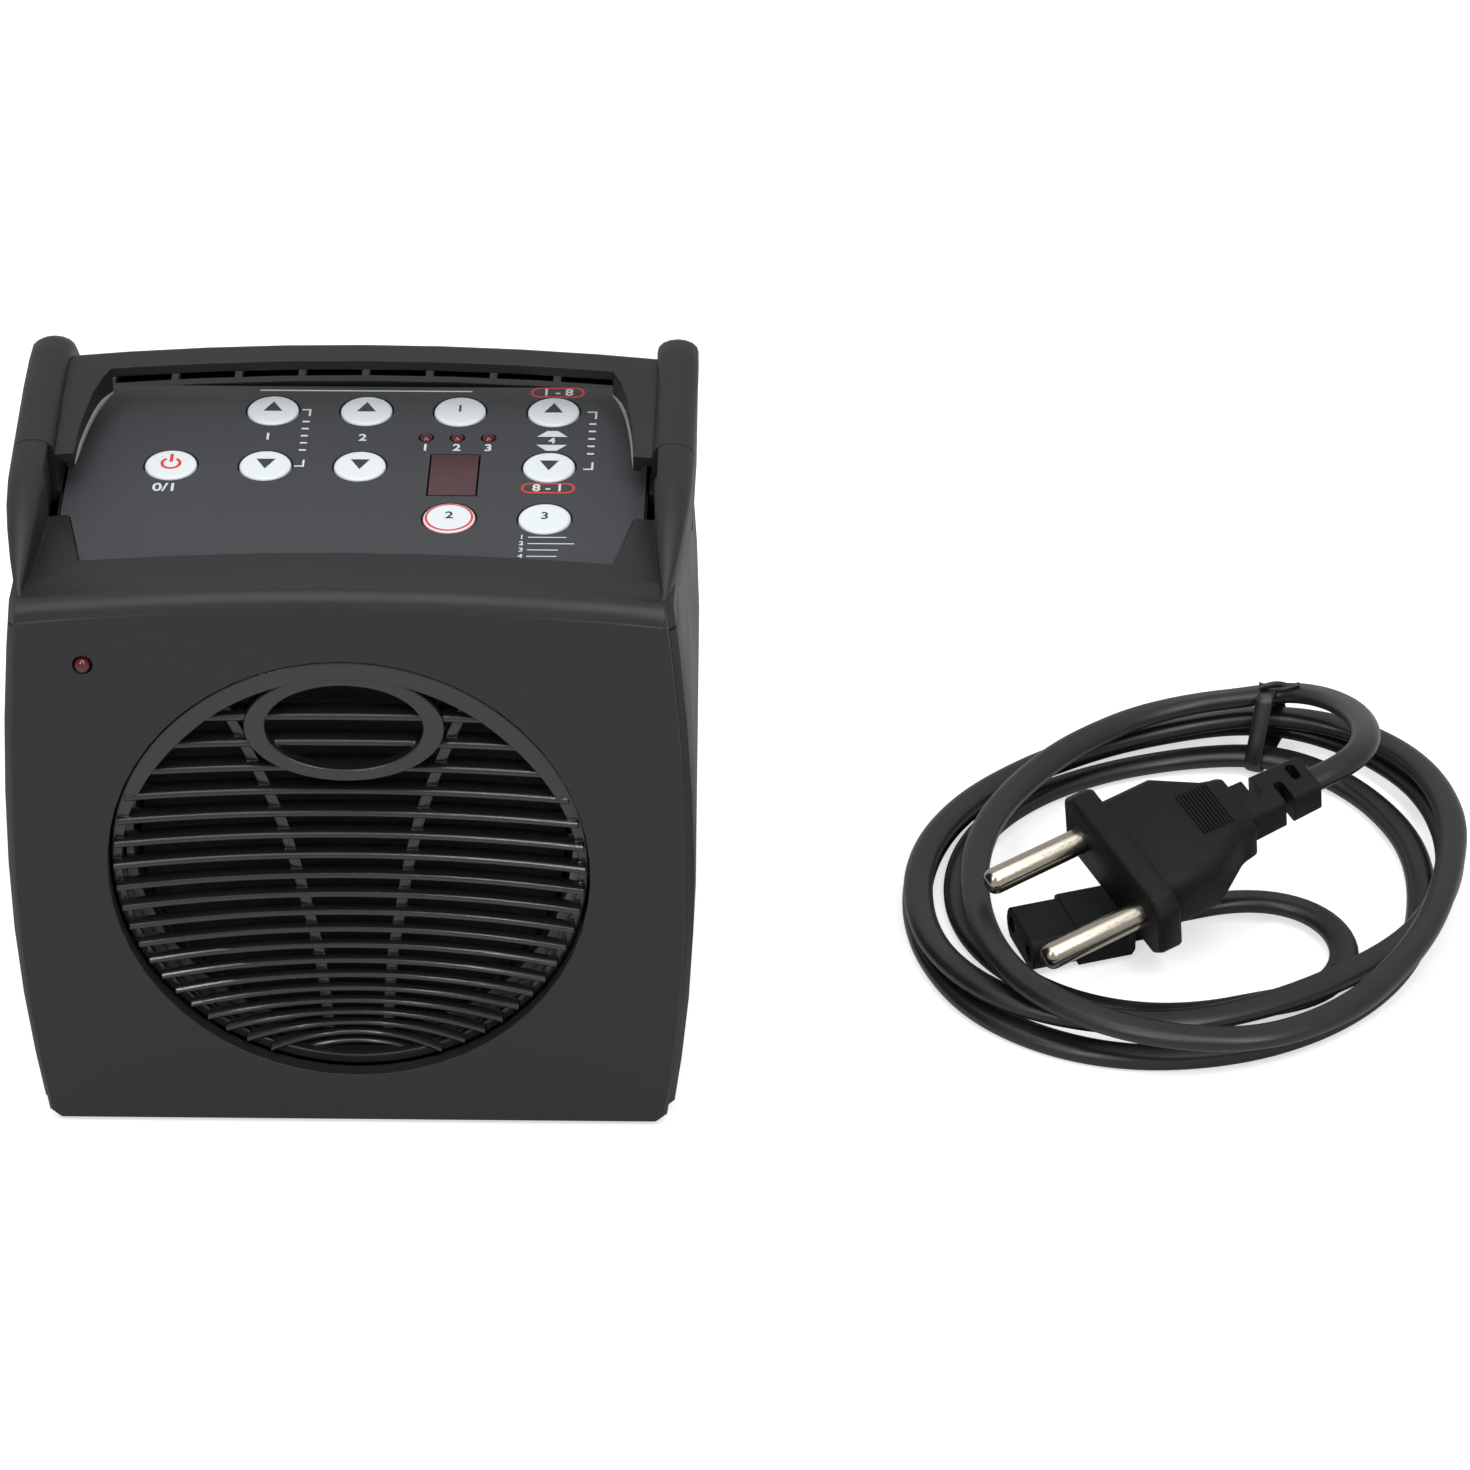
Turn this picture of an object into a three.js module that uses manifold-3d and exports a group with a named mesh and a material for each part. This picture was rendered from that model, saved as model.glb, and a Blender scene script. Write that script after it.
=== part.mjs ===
// Electronic tanpura with its detached mains lead, in millimetres, +Z up.
// x runs to the right, y to the back. The unit stands at the origin with its face towards -y.
import * as THREE from "three";
import { mergeVertices } from "three/addons/utils/BufferGeometryUtils.js";
import Module from "manifold-3d";

const wasm = await Module();
wasm.setup();

// driving dimensions of the housing
const bodyDepth = 86;
const footHeight = 1;
const faceLean = THREE.MathUtils.degToRad(4.1);
const faceTop = 94.4; // height of the bead's tangent line above the shell's base
const widestHeight = 45;
const footHalfWidth = 50;
const widestHalfWidth = 53.8;
const topHalfWidth = 50.9;
const crownRadius = 480; // the deck, the bead and the bridge share this crown
const shellWall = 2.2;
const faceWall = 2.4;
const sideProud = 1.1; // the rear shell stands this far outside the face's edge
const sideTaper = 1.5; // and narrows this much towards the back
const seamGap = 0.3;
const fit = 0.3; // clearance between pieces that touch
const overrun = 2; // how far cutters pass the material

// deck, bead and control panel
const beadRadius = 2.6;
const deckLevel = 95.7;
const deckFront = 16.5;
const lipY = 21.5;
const panelSlope = THREE.MathUtils.degToRad(1);
const panelDrop = 2.8; // from the crowned deck down to the flat panel, at the lip
const panelLength = 53;
const panelHalfFront = 42.2;
const panelHalfMiddle = 45.2;
const panelHalfRear = 46.9;
const panelStepY = 35.4;
const overlayThickness = 0.6;
const deckWall = 1.8;
const rearDeckLevel = 94.6;
const rearDeckEnd = 82;

// keys, lamps and display
const keyRadius = 4.2;
const keyColumn = 15.24;
const keyRowRear = 66.9;
const keyRowMiddle = 50.6;
const keyRowFront = 35.7;
const keyOffset = 0.3;
const keyTravel = 0.4;
const keyProud = 0.15;
const keyFlange = 1;
const lampRadius = 1.5;
const lampRowY = 59.1;
const lampPitch = 5.05;
const displayY = 48.2;
const displayWidth = 7.6;
const displayLength = 11.7;

// rails and bridge
const railHalf = 3.35;
const railOuter = 54.5;
const railTop = 104.6;
const railSeamY = 43;
const bridgeFront = 65.3;
const bridgeBack = 71.5;
const bridgeLevel = 104.3;
const bridgeWall = 1.7;
const bridgeLipDrop = 4;
const slotCount = 8;
const slotPitch = 10.45;
const slotRib = 1.2;

// loudspeaker and grille, measured up the face from its foot
const grilleRadius = 38.5;
const grilleCentre = 47;
const slatCount = 20;
const slatFirstShare = 0.27013; // of the radius, from the top of the circle down to the first slat
const slatPitchTopShare = 0.13247;
const slatPitchBottomShare = 0.04156;
const slatThickTop = 1.8;
const slatThickBottom = 1.1;
const slatDepth = 4.2;
const strutDepth = 2.6;
const dishTop = 1;
const dishDeep = 5.6;
const dishEdge = 1.1;
const grilleGroove = 0.7; // dark gap between the lip and the grille's rim
const grilleWall = 0.9;
const grilleSet = 0.4; // the rim lies this far behind the face
const grilleBack = 8.9;
const rimWidth = 2;
const badgeDrop = 12.6;
const badgeSet = 0.9;
// drop and distance from the middle, as shares of the radius
const strutShares = [
  [0.2597, 0.4935], [0.3558, 0.4519], [0.4805, 0.4052], [0.6026, 0.3623], [0.7221, 0.3221],
  [0.8442, 0.2857], [1.0727, 0.2351], [1.2701, 0.1987], [1.5039, 0.1571], [1.6805, 0.1390],
  [1.8675, 0.1273], [1.9481, 0.1247],
];

const basketFront = grilleBack + fit; // behind the face
const basketRadius = 38.5;
const basketCorner = 47;
const basketDepth = 24;
const magnetRadius = 24;
const magnetDepth = 11;
const speakerScrewX = 30;
const speakerPostRadius = 3.2;
const speakerBore = 1.5;

// case screws run forward through the rear shell's posts
const casePostX = 44.2;
const casePostLow = 8.5;
const casePostHigh = 80.5;
const casePostRadius = 3.4;
const casePostEnd = 18.5; // where the front posts meet the rear ones
const casePostStep = 22; // the screw heads seat here, inside the rear posts
const caseBore = 1.6;
const caseHeadBore = 3;
const caseScrewLength = 8;

// electronics
const boardThickness = 1.6;
const keyBoardLevel = -8.5;
const keyBoardHalf = 39;
const keyBoardFront = 9;
const keyBoardBack = 50;
const switchSize = 6;
const switchHeight = 3;
const plungerRadius = 1.7;
const plungerHeight = 0.9;
const mainBoardLevel = 6.5;
const transformerX = 24.5;
const transformerY = 55;
const transformerWidth = 30;
const transformerDepth = 26;
const transformerHeight = 26;
const inletX = -26;
const inletZ = 22;
const inletWidth = 15;
const inletHeight = 8.6;
const inletDepth = 18;
const inletPinRadius = 1.15;
const footRadius = 5;
const footSink = 1;

// mains lead, in the part's own frame
const cordWidth = 5;
const cordHeight = 3.2;
const coilX = 135.5;
const coilY = 22.8;
const coilStart = 317; // degrees, where the loops begin at the appliance end
const floorGap = 0.15;
const pinSpacing = 19;
const pinLength = 18.6;
const pinRadius = 2.25;
const connectorWidth = 13.6;
const connectorHeight = 7;
const connectorLength = 25;
const socketSpacing = 8.6;

const black = { color: 0x2b2d30, roughness: 0.55, metalness: 0 };
const darker = { color: 0x17181a, roughness: 0.6, metalness: 0 };

// a closed three.js geometry as a solid, turned right side out
function solid(geometry) {
  const g = geometry.clone();
  g.deleteAttribute("normal");
  g.deleteAttribute("uv");
  const merged = mergeVertices(g, 1e-4);
  const vertProperties = Float32Array.from(merged.attributes.position.array);
  const triVerts = Uint32Array.from(merged.index.array);
  const made = new wasm.Manifold(new wasm.Mesh({ numProp: 3, vertProperties, triVerts }));
  if (made.volume() > 0) return made;
  triVerts.reverse();
  return new wasm.Manifold(new wasm.Mesh({ numProp: 3, vertProperties, triVerts }));
}

function geometryOf(body) {
  const mesh = body.simplify(0.008).getMesh();
  const g = new THREE.BufferGeometry();
  g.setAttribute("position", new THREE.BufferAttribute(Float32Array.from(mesh.vertProperties), 3));
  g.setIndex(Array.from(mesh.triVerts));
  g.computeVertexNormals();
  return g;
}

const union = (list) => list.reduce((a, b) => a.add(b));
const mirrorX = (body) => body.mirror([1, 0, 0]);

// outlines: [x, y] pairs to a shape
function shapeOf(points) {
  return new THREE.Shape(points.map(([x, y]) => new THREE.Vector2(x, y)));
}

// a prism standing on the plan outline
function risingPrism(points, low, high) {
  const g = new THREE.ExtrudeGeometry(shapeOf(points), { depth: high - low, bevelEnabled: false });
  return solid(g.translate(0, 0, low));
}

// a prism of a front-view outline (x, z), running along y
function deepPrism(points, front, back) {
  const g = new THREE.ExtrudeGeometry(shapeOf(points), { depth: back - front, bevelEnabled: false });
  return solid(g.rotateX(Math.PI / 2).translate(0, back, 0));
}

// a prism of a side-view outline (y, z), running along x
function widePrism(points, left, right) {
  const g = new THREE.ExtrudeGeometry(shapeOf(points), { depth: right - left, bevelEnabled: false });
  return solid(g.rotateX(Math.PI / 2).rotateZ(Math.PI / 2).translate(left, 0, 0));
}

function box(x, y, z, width, depth, height) {
  return solid(new THREE.BoxGeometry(width, depth, height).translate(x, y, z));
}

// a disc or ring about the z axis from a closed profile of [radius, z]
function turned(profile, segments) {
  const points = profile.map(([r, z]) => new THREE.Vector2(r, z));
  const g = new THREE.LatheGeometry(points, segments);
  return solid(g.rotateX(Math.PI / 2));
}

// a plain cylinder standing on z = low
function post(radius, low, high, segments) {
  const g = new THREE.CylinderGeometry(radius, radius, high - low, segments);
  return solid(g.rotateX(Math.PI / 2).translate(0, 0, (low + high) / 2));
}

// a closed skin over rings of points that have equal counts
function loft(rings) {
  const count = rings[0].length;
  const positions = rings.flat(2);
  const index = [];
  for (let k = 0; k + 1 < rings.length; k++) {
    for (let i = 0; i < count; i++) {
      const j = (i + 1) % count;
      const a = k * count + i;
      const b = k * count + j;
      index.push(a, b, b + count, a, b + count, a + count);
    }
  }
  const last = (rings.length - 1) * count;
  for (let i = 1; i + 1 < count; i++) {
    index.push(0, i + 1, i, last, last + i, last + i + 1);
  }
  const g = new THREE.BufferGeometry();
  g.setAttribute("position", new THREE.Float32BufferAttribute(positions, 3));
  g.setIndex(index);
  return solid(g);
}

// the height field z = level(y) less the crown, from y = front to back, closed at z = roof
function crownedBlock(stations, halfWidth, roof) {
  const columns = 8;
  const rings = stations.map(([y, z]) => {
    const ring = [];
    for (let i = 0; i <= columns; i++) {
      const x = halfWidth * (1 - 2 * i / columns);
      ring.push([x, y, z - x * x / (2 * crownRadius)]);
    }
    ring.push([-halfWidth, y, roof], [halfWidth, y, roof]);
    return ring;
  });
  return loft(rings);
}

// half width of the face at a height above the shell's base
function halfWidthAt(z) {
  const low = (widestHeight - z) / widestHeight;
  const high = (z - widestHeight) / (faceTop - widestHeight);
  return z < widestHeight
    ? widestHalfWidth - (widestHalfWidth - footHalfWidth) * low * low
    : widestHalfWidth - (widestHalfWidth - topHalfWidth) * high * high;
}

// the housing's outline in the front view, as rings that lean with the face
const heightShares = [0.012, 0.1, 0.22, 0.35, 0.48, 0.62, 0.76, 0.9, 1, 1.12];
function bodyRing(y, leaning, proud, inset) {
  const side = heightShares.map((share) => {
    const z = Math.max(share * faceTop, inset + share * faceTop * heightShares[0]);
    const lean = leaning ? z * Math.tan(faceLean) : 0;
    return [halfWidthAt(z) + proud - inset, y + lean, z];
  });
  const corner = heightShares[0] * faceTop;
  const base = [halfWidthAt(0) + proud - inset - corner, y, inset];
  const right = [base, ...side];
  return [...right, ...right.map(([x, yy, z]) => [-x, yy, z]).reverse()];
}

// level of the outer top surface on the centre line, front to back
const beadCentre = faceTop * Math.tan(faceLean) + beadRadius;
function topStations(drop) {
  const r = beadRadius - drop;
  const arc = [180, 150, 125, 100, 78, 62].map((degrees) => {
    const a = THREE.MathUtils.degToRad(degrees);
    return [beadCentre + r * Math.cos(a), faceTop + r * Math.sin(a)];
  });
  return [
    [-overrun, faceTop],
    ...arc,
    [beadCentre + beadRadius, deckLevel + beadRadius * 0.12 - drop],
    [deckFront, deckLevel - drop],
    [panelStepY, deckLevel - drop],
    [railSeamY, deckLevel - drop],
    [panelEnd, rearDeckLevel - drop],
    [rearDeckEnd, rearDeckLevel - drop],
    [rearDeckEnd + 0.45 * rearRound, rearDeckLevel - 0.15 * rearRound - drop],
    [rearDeckEnd + 0.8 * rearRound, rearDeckLevel - 0.5 * rearRound - drop],
    [bodyDepth, rearDeckLevel - rearRound - drop],
    [bodyDepth + overrun, rearDeckLevel - rearRound - drop],
  ];
}
const panelEnd = lipY + panelLength;
const rearRound = bodyDepth - rearDeckEnd;
const roof = 2 * faceTop;
const wide = 2 * widestHalfWidth;

const crownHalf = widestHalfWidth + overrun;
const openTop = crownedBlock(topStations(0), crownHalf, roof);
const openTopInside = crownedBlock(topStations(shellWall), crownHalf, roof);

// how deep the grille's bowl lies behind the face, at x on the slat that is drop below the circle's top
function dish(x, drop, half) {
  const share = drop / (2 * grilleRadius);
  const deep = dishTop + dishDeep * Math.sin(0.62 * Math.PI * share) ** 1.4;
  const bow = Math.min(deep - dishEdge, 0.031 * half * half);
  return deep - Math.max(bow, 0) * (x / half) ** 2;
}

// frames of the leaning face and of the control panel
const faceMatrix = new THREE.Matrix4().makeRotationX(Math.PI / 2 - faceLean);
const panelLevel = deckLevel - panelDrop;
const panelMatrix = new THREE.Matrix4()
  .makeRotationX(panelSlope)
  .setPosition(0, lipY, panelLevel);
const onFace = (body) => body.transform(faceMatrix.elements);
const onPanel = (body) => body.transform(panelMatrix.elements);
const alongPanel = (y) => (y - lipY) / Math.cos(panelSlope);

// seam between the shells in the side view: behind the face, then back under the rail, then up
const speakerCorners = [[-1, -1], [1, -1], [1, 1], [-1, 1]]
  .map(([a, b]) => [a * speakerScrewX, grilleCentre + b * speakerScrewX]);
const caseCorners = [[-1, casePostLow], [1, casePostLow], [1, casePostHigh], [-1, casePostHigh]]
  .map(([side, z]) => [side * casePostX, z]);
const seamDepth = faceWall + 0.4;
const seamLevel = 89.5;
function frontRegion(grow) {
  const lean = Math.tan(faceLean);
  const back = seamDepth + grow;
  const end = railSeamY - seamGap / 2 + grow;
  return widePrism([
    [-wide, -overrun], [back - overrun * lean, -overrun],
    [back + (seamLevel - grow) * lean, seamLevel - grow],
    [end, seamLevel - grow], [end, roof], [-wide, roof],
  ], -wide, wide);
}

// the rails: rounded ridges along both sides, as half-oval sections that grow out of the bead's ends
// station: y, side level, outer x, inner x
const railFrontStations = [
  [10.4, 92.6, 50.75, 49.9], [13, 94, 51.4, 50.3], [18, 96.3, 52.5, 49.6], [23.5, 98.3, 53.4, 49.1],
  [28.5, 99.6, 54, 48.7], [35, 100.3, 54.4, 48.35], [railSeamY, 100.6, railOuter, railOuter - 2 * railHalf],
  [railSeamY + overrun, 100.65, railOuter, railOuter - 2 * railHalf],
];
const railRearStations = [
  [railSeamY - overrun, 100.55, 54.5], [railSeamY, 100.6, 54.5], [52, 101.1, 54.55], [61, 101.7, 54.55], [68, 102.2, 54.4],
  [72, 102, 54.3], [75.2, 100.4, 54.2], [77.8, 97.6, 54.1], [80.2, 94, 54], [82.7, 89.8, 53.8], [bodyDepth - 0.6, 84, 53.4],
].map(([y, level, outer]) => [y, level, outer, outer - 2 * railHalf]);

function rail(stations, innerFoot, outerFoot) {
  return loft(stations.map(([y, level, outer, inner]) => {
    const centre = (outer + inner) / 2;
    const half = (outer - inner) / 2;
    const rise = half * 0.68;
    const ring = [];
    for (let i = 0; i <= 8; i++) {
      const a = Math.PI * i / 8;
      ring.push([centre + half * Math.cos(a), y, level + rise * Math.sin(a)]);
    }
    const foot = Math.min(innerFoot, level - 0.6);
    ring.push([inner, y, foot], [outer - 0.4, y, Math.min(outerFoot, level - 1)]);
    return ring;
  }));
}

function shells() {
  const outer = loft([
    bodyRing(0, true, -0.6, 0), bodyRing(0.6, true, 0, 0),
    bodyRing(seamDepth + seamGap / 2, true, 0, 0), bodyRing(seamDepth + 1.5, true, sideProud, 0),
    bodyRing(20, false, sideProud, 0), bodyRing(railSeamY, false, sideProud - 0.4 * sideTaper, 0),
    bodyRing(bodyDepth - 3, false, sideProud - sideTaper, 0),
    bodyRing(bodyDepth, false, sideProud - sideTaper - 2.4, 0),
  ]).subtract(openTop);
  const inside = loft([
    bodyRing(faceWall + 0.6, true, 0, shellWall), bodyRing(20, false, 0, shellWall),
    bodyRing(bodyDepth - 3, false, sideProud - sideTaper, shellWall),
    bodyRing(bodyDepth - shellWall, false, sideProud - sideTaper - 1, shellWall),
  ]).subtract(openTopInside);
  return { outer, inside };
}

const { outer, inside } = shells();
const shellBody = outer.subtract(inside);

// the recess for the control panel: narrow at the lip, stepping out beside the slots
const recessOutline = [
  [-panelHalfFront, lipY], [panelHalfFront, lipY], [panelHalfMiddle, panelStepY],
  [panelHalfRear, panelStepY], [panelHalfRear, panelEnd], [-panelHalfRear, panelEnd],
  [-panelHalfRear, panelStepY], [-panelHalfMiddle, panelStepY],
].map(([x, y]) => [x, alongPanel(y)]);
const grow = (points, by) => points.map(([x, y]) => [x + Math.sign(x) * by, y]);

const keyPlaces = [
  ["power", -2, keyRowMiddle], ["volume_up", -1, keyRowRear], ["volume_down", -1, keyRowMiddle],
  ["tone_up", 0, keyRowRear], ["tone_down", 0, keyRowMiddle], ["note", 1, keyRowRear],
  ["pitch_up", 2, keyRowRear], ["pitch_down", 2, keyRowMiddle],
  ["memory", 1, keyRowFront], ["mode", 2, keyRowFront],
].map(([name, column, y]) => ({ name, x: keyOffset + column * keyColumn, y: alongPanel(y) }));
const lampPlaces = [-1, 0, 1].map((i) => ({ x: keyOffset + keyColumn + i * lampPitch, y: alongPanel(lampRowY) }));
const displayX = keyOffset + keyColumn;

const plateTop = -overlayThickness - fit;
const plateBottom = plateTop - deckWall;
const keyHole = keyRadius + fit;
const flangeRadius = keyRadius + 1;

function panelHoles(radiusKeys, low, high, sides) {
  const holes = keyPlaces.map(({ x, y }) => post(radiusKeys, low, high, sides).translate([x, y, 0]));
  const lamps = lampPlaces.map(({ x, y }) => post(lampRadius + fit, low, high, sides / 2).translate([x, y, 0]));
  const window = box(displayX, alongPanel(displayY), (low + high) / 2,
    displayWidth + 2 * fit, displayLength + 2 * fit, high - low);
  return union([...holes, ...lamps, window]);
}

const ledX = -40.6;
const ledUp = 84.6;
const slotWidth = 1.8;
const slotInner = panelHalfRear + 0.1;

const footPlaces = [[-40, 12], [40, 12], [40, 76], [-40, 76]];
const boardPosts = [[-36, 34], [4, 34], [-36, 66], [4, 66]];

function frontShell() {
  const plateHalf = panelHalfFront + shellWall;
  const stepHalf = panelHalfMiddle + shellWall;
  const plateStep = alongPanel(railSeamY - shellWall);
  const plateEnd = alongPanel(panelEnd) - fit;
  const plate = onPanel(risingPrism([
    [-plateHalf, -shellWall], [plateHalf, -shellWall], [stepHalf, alongPanel(panelStepY)], [stepHalf, plateStep],
    [panelHalfRear, plateStep], [panelHalfRear, plateEnd], [-panelHalfRear, plateEnd],
    [-panelHalfRear, plateStep], [-stepHalf, plateStep], [-stepHalf, alongPanel(panelStepY)],
  ], plateBottom, plateTop));
  const rails = rail(railFrontStations, deckLevel - 4, seamLevel);
  const cap = union([shellBody, rails, mirrorX(rails)]).intersect(frontRegion(0));
  const recess = onPanel(risingPrism(recessOutline, plateTop, roof));
  const slots = [-1, 1].map((side) => box(side * (slotInner + slotWidth / 2), (panelStepY + railSeamY) / 2 + overrun,
    panelLevel + 4, slotWidth, railSeamY - panelStepY + 2 * overrun, 14));
  const speakerHole = onFace(post(grilleRadius, -grilleBack, overrun, 54).translate([0, grilleCentre, 0]));
  const ledHole = onFace(post(lampRadius + 0.1, -faceWall * 3, overrun, 16).translate([ledX, ledUp, 0]));
  const speakerPosts = speakerCorners.map(([x, u]) => onFace(post(speakerPostRadius, -basketFront + fit, -faceWall + 0.6, 8)
    .subtract(post(speakerBore, -basketFront - overrun, -faceWall - 0.6, 6))
    .translate([x, u, 0])));
  const cornerPosts = caseCorners.map(([x, z]) => solid(new THREE.CylinderGeometry(
    casePostRadius, casePostRadius, casePostEnd - faceWall - z * Math.tan(faceLean), 8))
    .translate([x, (casePostEnd + faceWall + z * Math.tan(faceLean)) / 2, z]));
  const cornerBores = caseCorners.map(([x, z]) => solid(new THREE.CylinderGeometry(
    caseBore, caseBore, 2 * caseScrewLength, 6)).translate([x, casePostEnd, z]));
  return cap.add(plate)
    .subtract(recess)
    .subtract(union(slots))
    .subtract(onPanel(panelHoles(keyHole, plateBottom - overrun, overrun, 16)))
    .add(union(cornerPosts))
    .subtract(union(cornerBores))
    .subtract(speakerHole)
    .add(union(speakerPosts))
    .subtract(ledHole);
}

// the rear window's outline in plan: curved sides and cut corners
const windowOutline = [
  [44.9, railSeamY - 2 * overrun], [44.5, 49], [43.9, 54], [43.1, 58.8], [42, 62.6], [40.6, bridgeFront],
];
const windowShape = [...windowOutline, ...windowOutline.map(([x, y]) => [-x, y]).reverse()];

function rearShell() {
  const topLevel = [[railSeamY - overrun, 102.3], [52, 103.2], [bridgeFront, bridgeLevel], [bridgeBack - 1.6, bridgeLevel],
    [bridgeBack - 0.5, bridgeLevel - 0.5], [bridgeBack, bridgeLevel - 1.7]];
  const half = railOuter - railHalf;
  const above = crownedBlock(topLevel, half, roof);
  const sheet = crownedBlock(topLevel.map(([y, z]) => [y, z - bridgeWall]), half, roof).subtract(above);
  const backLip = crownedBlock([[bridgeBack - bridgeWall - 0.3, bridgeLevel - bridgeLipDrop - 0.2],
    [bridgeBack, bridgeLevel - bridgeLipDrop]], half, roof)
    .subtract(above)
    .subtract(box(0, bridgeBack, roof, wide, 4 * bridgeLipDrop, 2 * (roof - bridgeLevel)));
  const collar = risingPrism(windowShape.map(([x, y]) => [x + Math.sign(x) * 1.2, y + (y > bridgeFront - 1 ? 0 : 0)]), 97.6, 103);
  const web = union([sheet, backLip, collar.subtract(above)])
    .subtract(risingPrism(windowShape, 0, roof));
  const rails = rail(railRearStations, deckLevel - 3.5, seamLevel - 2);
  const underPanel = risingPrism([
    [-panelHalfRear - fit, 0], [panelHalfRear + fit, 0], [panelHalfRear + fit, panelEnd + fit], [-panelHalfRear - fit, panelEnd + fit],
  ], seamLevel - 1, deckLevel + 1);
  const slots = [];
  for (let i = 0; i < slotCount; i++) {
    const x = (i - (slotCount - 1) / 2) * slotPitch - 1.1 + 0.5 * slotRib;
    slots.push(box(x, (panelEnd + rearDeckEnd) / 2 + 1.1, rearDeckLevel, slotPitch - slotRib, rearDeckEnd - panelEnd - 1.8, 14));
  }
  const start = casePostEnd + fit;
  const posts = caseCorners.map(([x, z]) => solid(new THREE.CylinderGeometry(
    casePostRadius, casePostRadius, bodyDepth - shellWall / 2 - start, 8))
    .translate([x, (bodyDepth - shellWall / 2 + start) / 2, z]));
  const bores = caseCorners.map(([x, z]) => solid(new THREE.CylinderGeometry(caseBore, caseBore, bodyDepth, 6))
    .add(solid(new THREE.CylinderGeometry(caseHeadBore, caseHeadBore, bodyDepth, 10))
      .translate([0, bodyDepth / 2 + casePostStep - start + fit, 0]))
    .translate([x, start, z]));
  const socket = box(inletX, bodyDepth, inletZ, inletWidth + 2 * fit, 4 * shellWall, inletHeight + 2 * fit);
  const feet = footPlaces.map(([x, y]) => post(footRadius + fit, -overrun, footSink, 14).translate([x, y, 0]));
  const stands = boardPosts.map(([x, y]) => post(2.6, shellWall / 2, mainBoardLevel - fit, 10).translate([x, y, 0]));
  const cradle = box(transformerX, transformerY, shellWall + 1.2, transformerWidth + 5, transformerDepth + 5, 3.4)
    .subtract(box(transformerX, transformerY, shellWall + overrun + 1, transformerWidth + 2 * fit,
      transformerDepth + 2 * fit, 2 * overrun + 2));
  return union([shellBody, web, rails, mirrorX(rails), ...posts, ...stands, cradle])
    .subtract(union(bores))
    .subtract(socket)
    .subtract(union(feet))
    .subtract(frontRegion(seamGap))
    .subtract(underPanel)
    .subtract(union(slots));
}

const unit = new THREE.Group();
unit.position.set(0, -bodyDepth / 2, footHeight);
const facePieces = new THREE.Group();
facePieces.rotation.x = Math.PI / 2 - faceLean;
const panelPieces = new THREE.Group();
panelPieces.rotation.x = panelSlope;
panelPieces.position.set(0, lipY, panelLevel);
unit.add(facePieces, panelPieces);

function place(group, name, body, look) {
  const mesh = new THREE.Mesh(geometryOf(body), new THREE.MeshStandardMaterial(look));
  mesh.name = name;
  group.add(mesh);
  return mesh;
}

// a solid swept through stations of [x, y, z] with a level, flat section of pairs [across, up]
function sweep(points, section) {
  const path = points.map((p) => new THREE.Vector3(...p));
  const rings = path.map((p, i) => {
    const before = path[Math.max(i - 1, 0)];
    const after = path[Math.min(i + 1, path.length - 1)];
    const along = after.clone().sub(before).normalize();
    const across = new THREE.Vector3(along.y, -along.x, 0).normalize();
    const up = across.clone().cross(along);
    return section.map(([a, u]) => p.clone().addScaledVector(across, a).addScaledVector(up, u).toArray());
  });
  return loft(rings);
}

function speakerGrille() {
  const inner = grilleRadius - grilleWall - grilleGroove;
  const cylinderOuter = inner + grilleWall;
  const wall = turned([
    [inner, -grilleSet], [cylinderOuter, -grilleSet], [cylinderOuter, -grilleBack],
    [inner, -grilleBack], [inner, -grilleSet],
  ], 48);
  const rim = turned([
    [inner - rimWidth, -grilleSet], [inner + fit, -grilleSet], [inner + fit, -grilleSet - 1.2],
    [inner - rimWidth, -grilleSet - 1.2], [inner - rimWidth, -grilleSet],
  ], 54);
  const pieces = [wall, rim];
  const slats = [];
  for (let i = 0; i < slatCount; i++) {
    const share = i / (slatCount - 1);
    const closing = (slatPitchTopShare - slatPitchBottomShare) * i * (i - 1) / (2 * (slatCount - 2));
    const drop = grilleRadius * (slatFirstShare + slatPitchTopShare * i - closing);
    const thick = slatThickTop + (slatThickBottom - slatThickTop) * share;
    slats.push({ drop, thick });
  }
  const reach = inner + 0.3;
  for (const { drop, thick } of slats) {
    const level = grilleRadius - drop;
    const half = Math.sqrt(reach * reach - Math.max(level * level, (level - thick) * (level - thick)));
    const depth = Math.min(slatDepth, grilleBack - dish(0, drop, half));
    const rings = [];
    const steps = half > 20 ? 6 : 4;
    for (let k = 0; k <= steps; k++) {
      const x = half * (2 * k / steps - 1);
      const front = -dish(x, drop, half);
      rings.push([[x, level, front], [x, level - thick, front], [x, level - thick, front - depth], [x, level, front - depth]]);
    }
    pieces.push(loft(rings));
  }
  const strutPath = strutShares.map(([dropShare, sideShare]) => {
    const drop = dropShare * grilleRadius;
    const x = sideShare * grilleRadius;
    const level = grilleRadius - drop;
    const half = Math.sqrt(reach * reach - level * level);
    return [x, level, -dish(x, drop, half)];
  });
  const strut = loft(strutPath.map(([x, y, z]) => [
    [x - 1, y, z - 0.8], [x + 1, y, z - 0.8], [x + 1, y, z - strutDepth], [x - 1, y, z - strutDepth],
  ]));
  pieces.push(strut, mirrorX(strut));
  const badge = turned([
    [12.6, -badgeSet], [16.4, -badgeSet], [16.4, -badgeSet - 2.4], [12.6, -badgeSet - 2.4], [12.6, -badgeSet],
  ], 32).scale([1, 0.68, 1]).translate([0, grilleRadius - badgeDrop, 0])
    .intersect(post(inner + 0.2, -grilleBack, overrun, 54));
  pieces.push(badge);
  return union(pieces);
}


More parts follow.
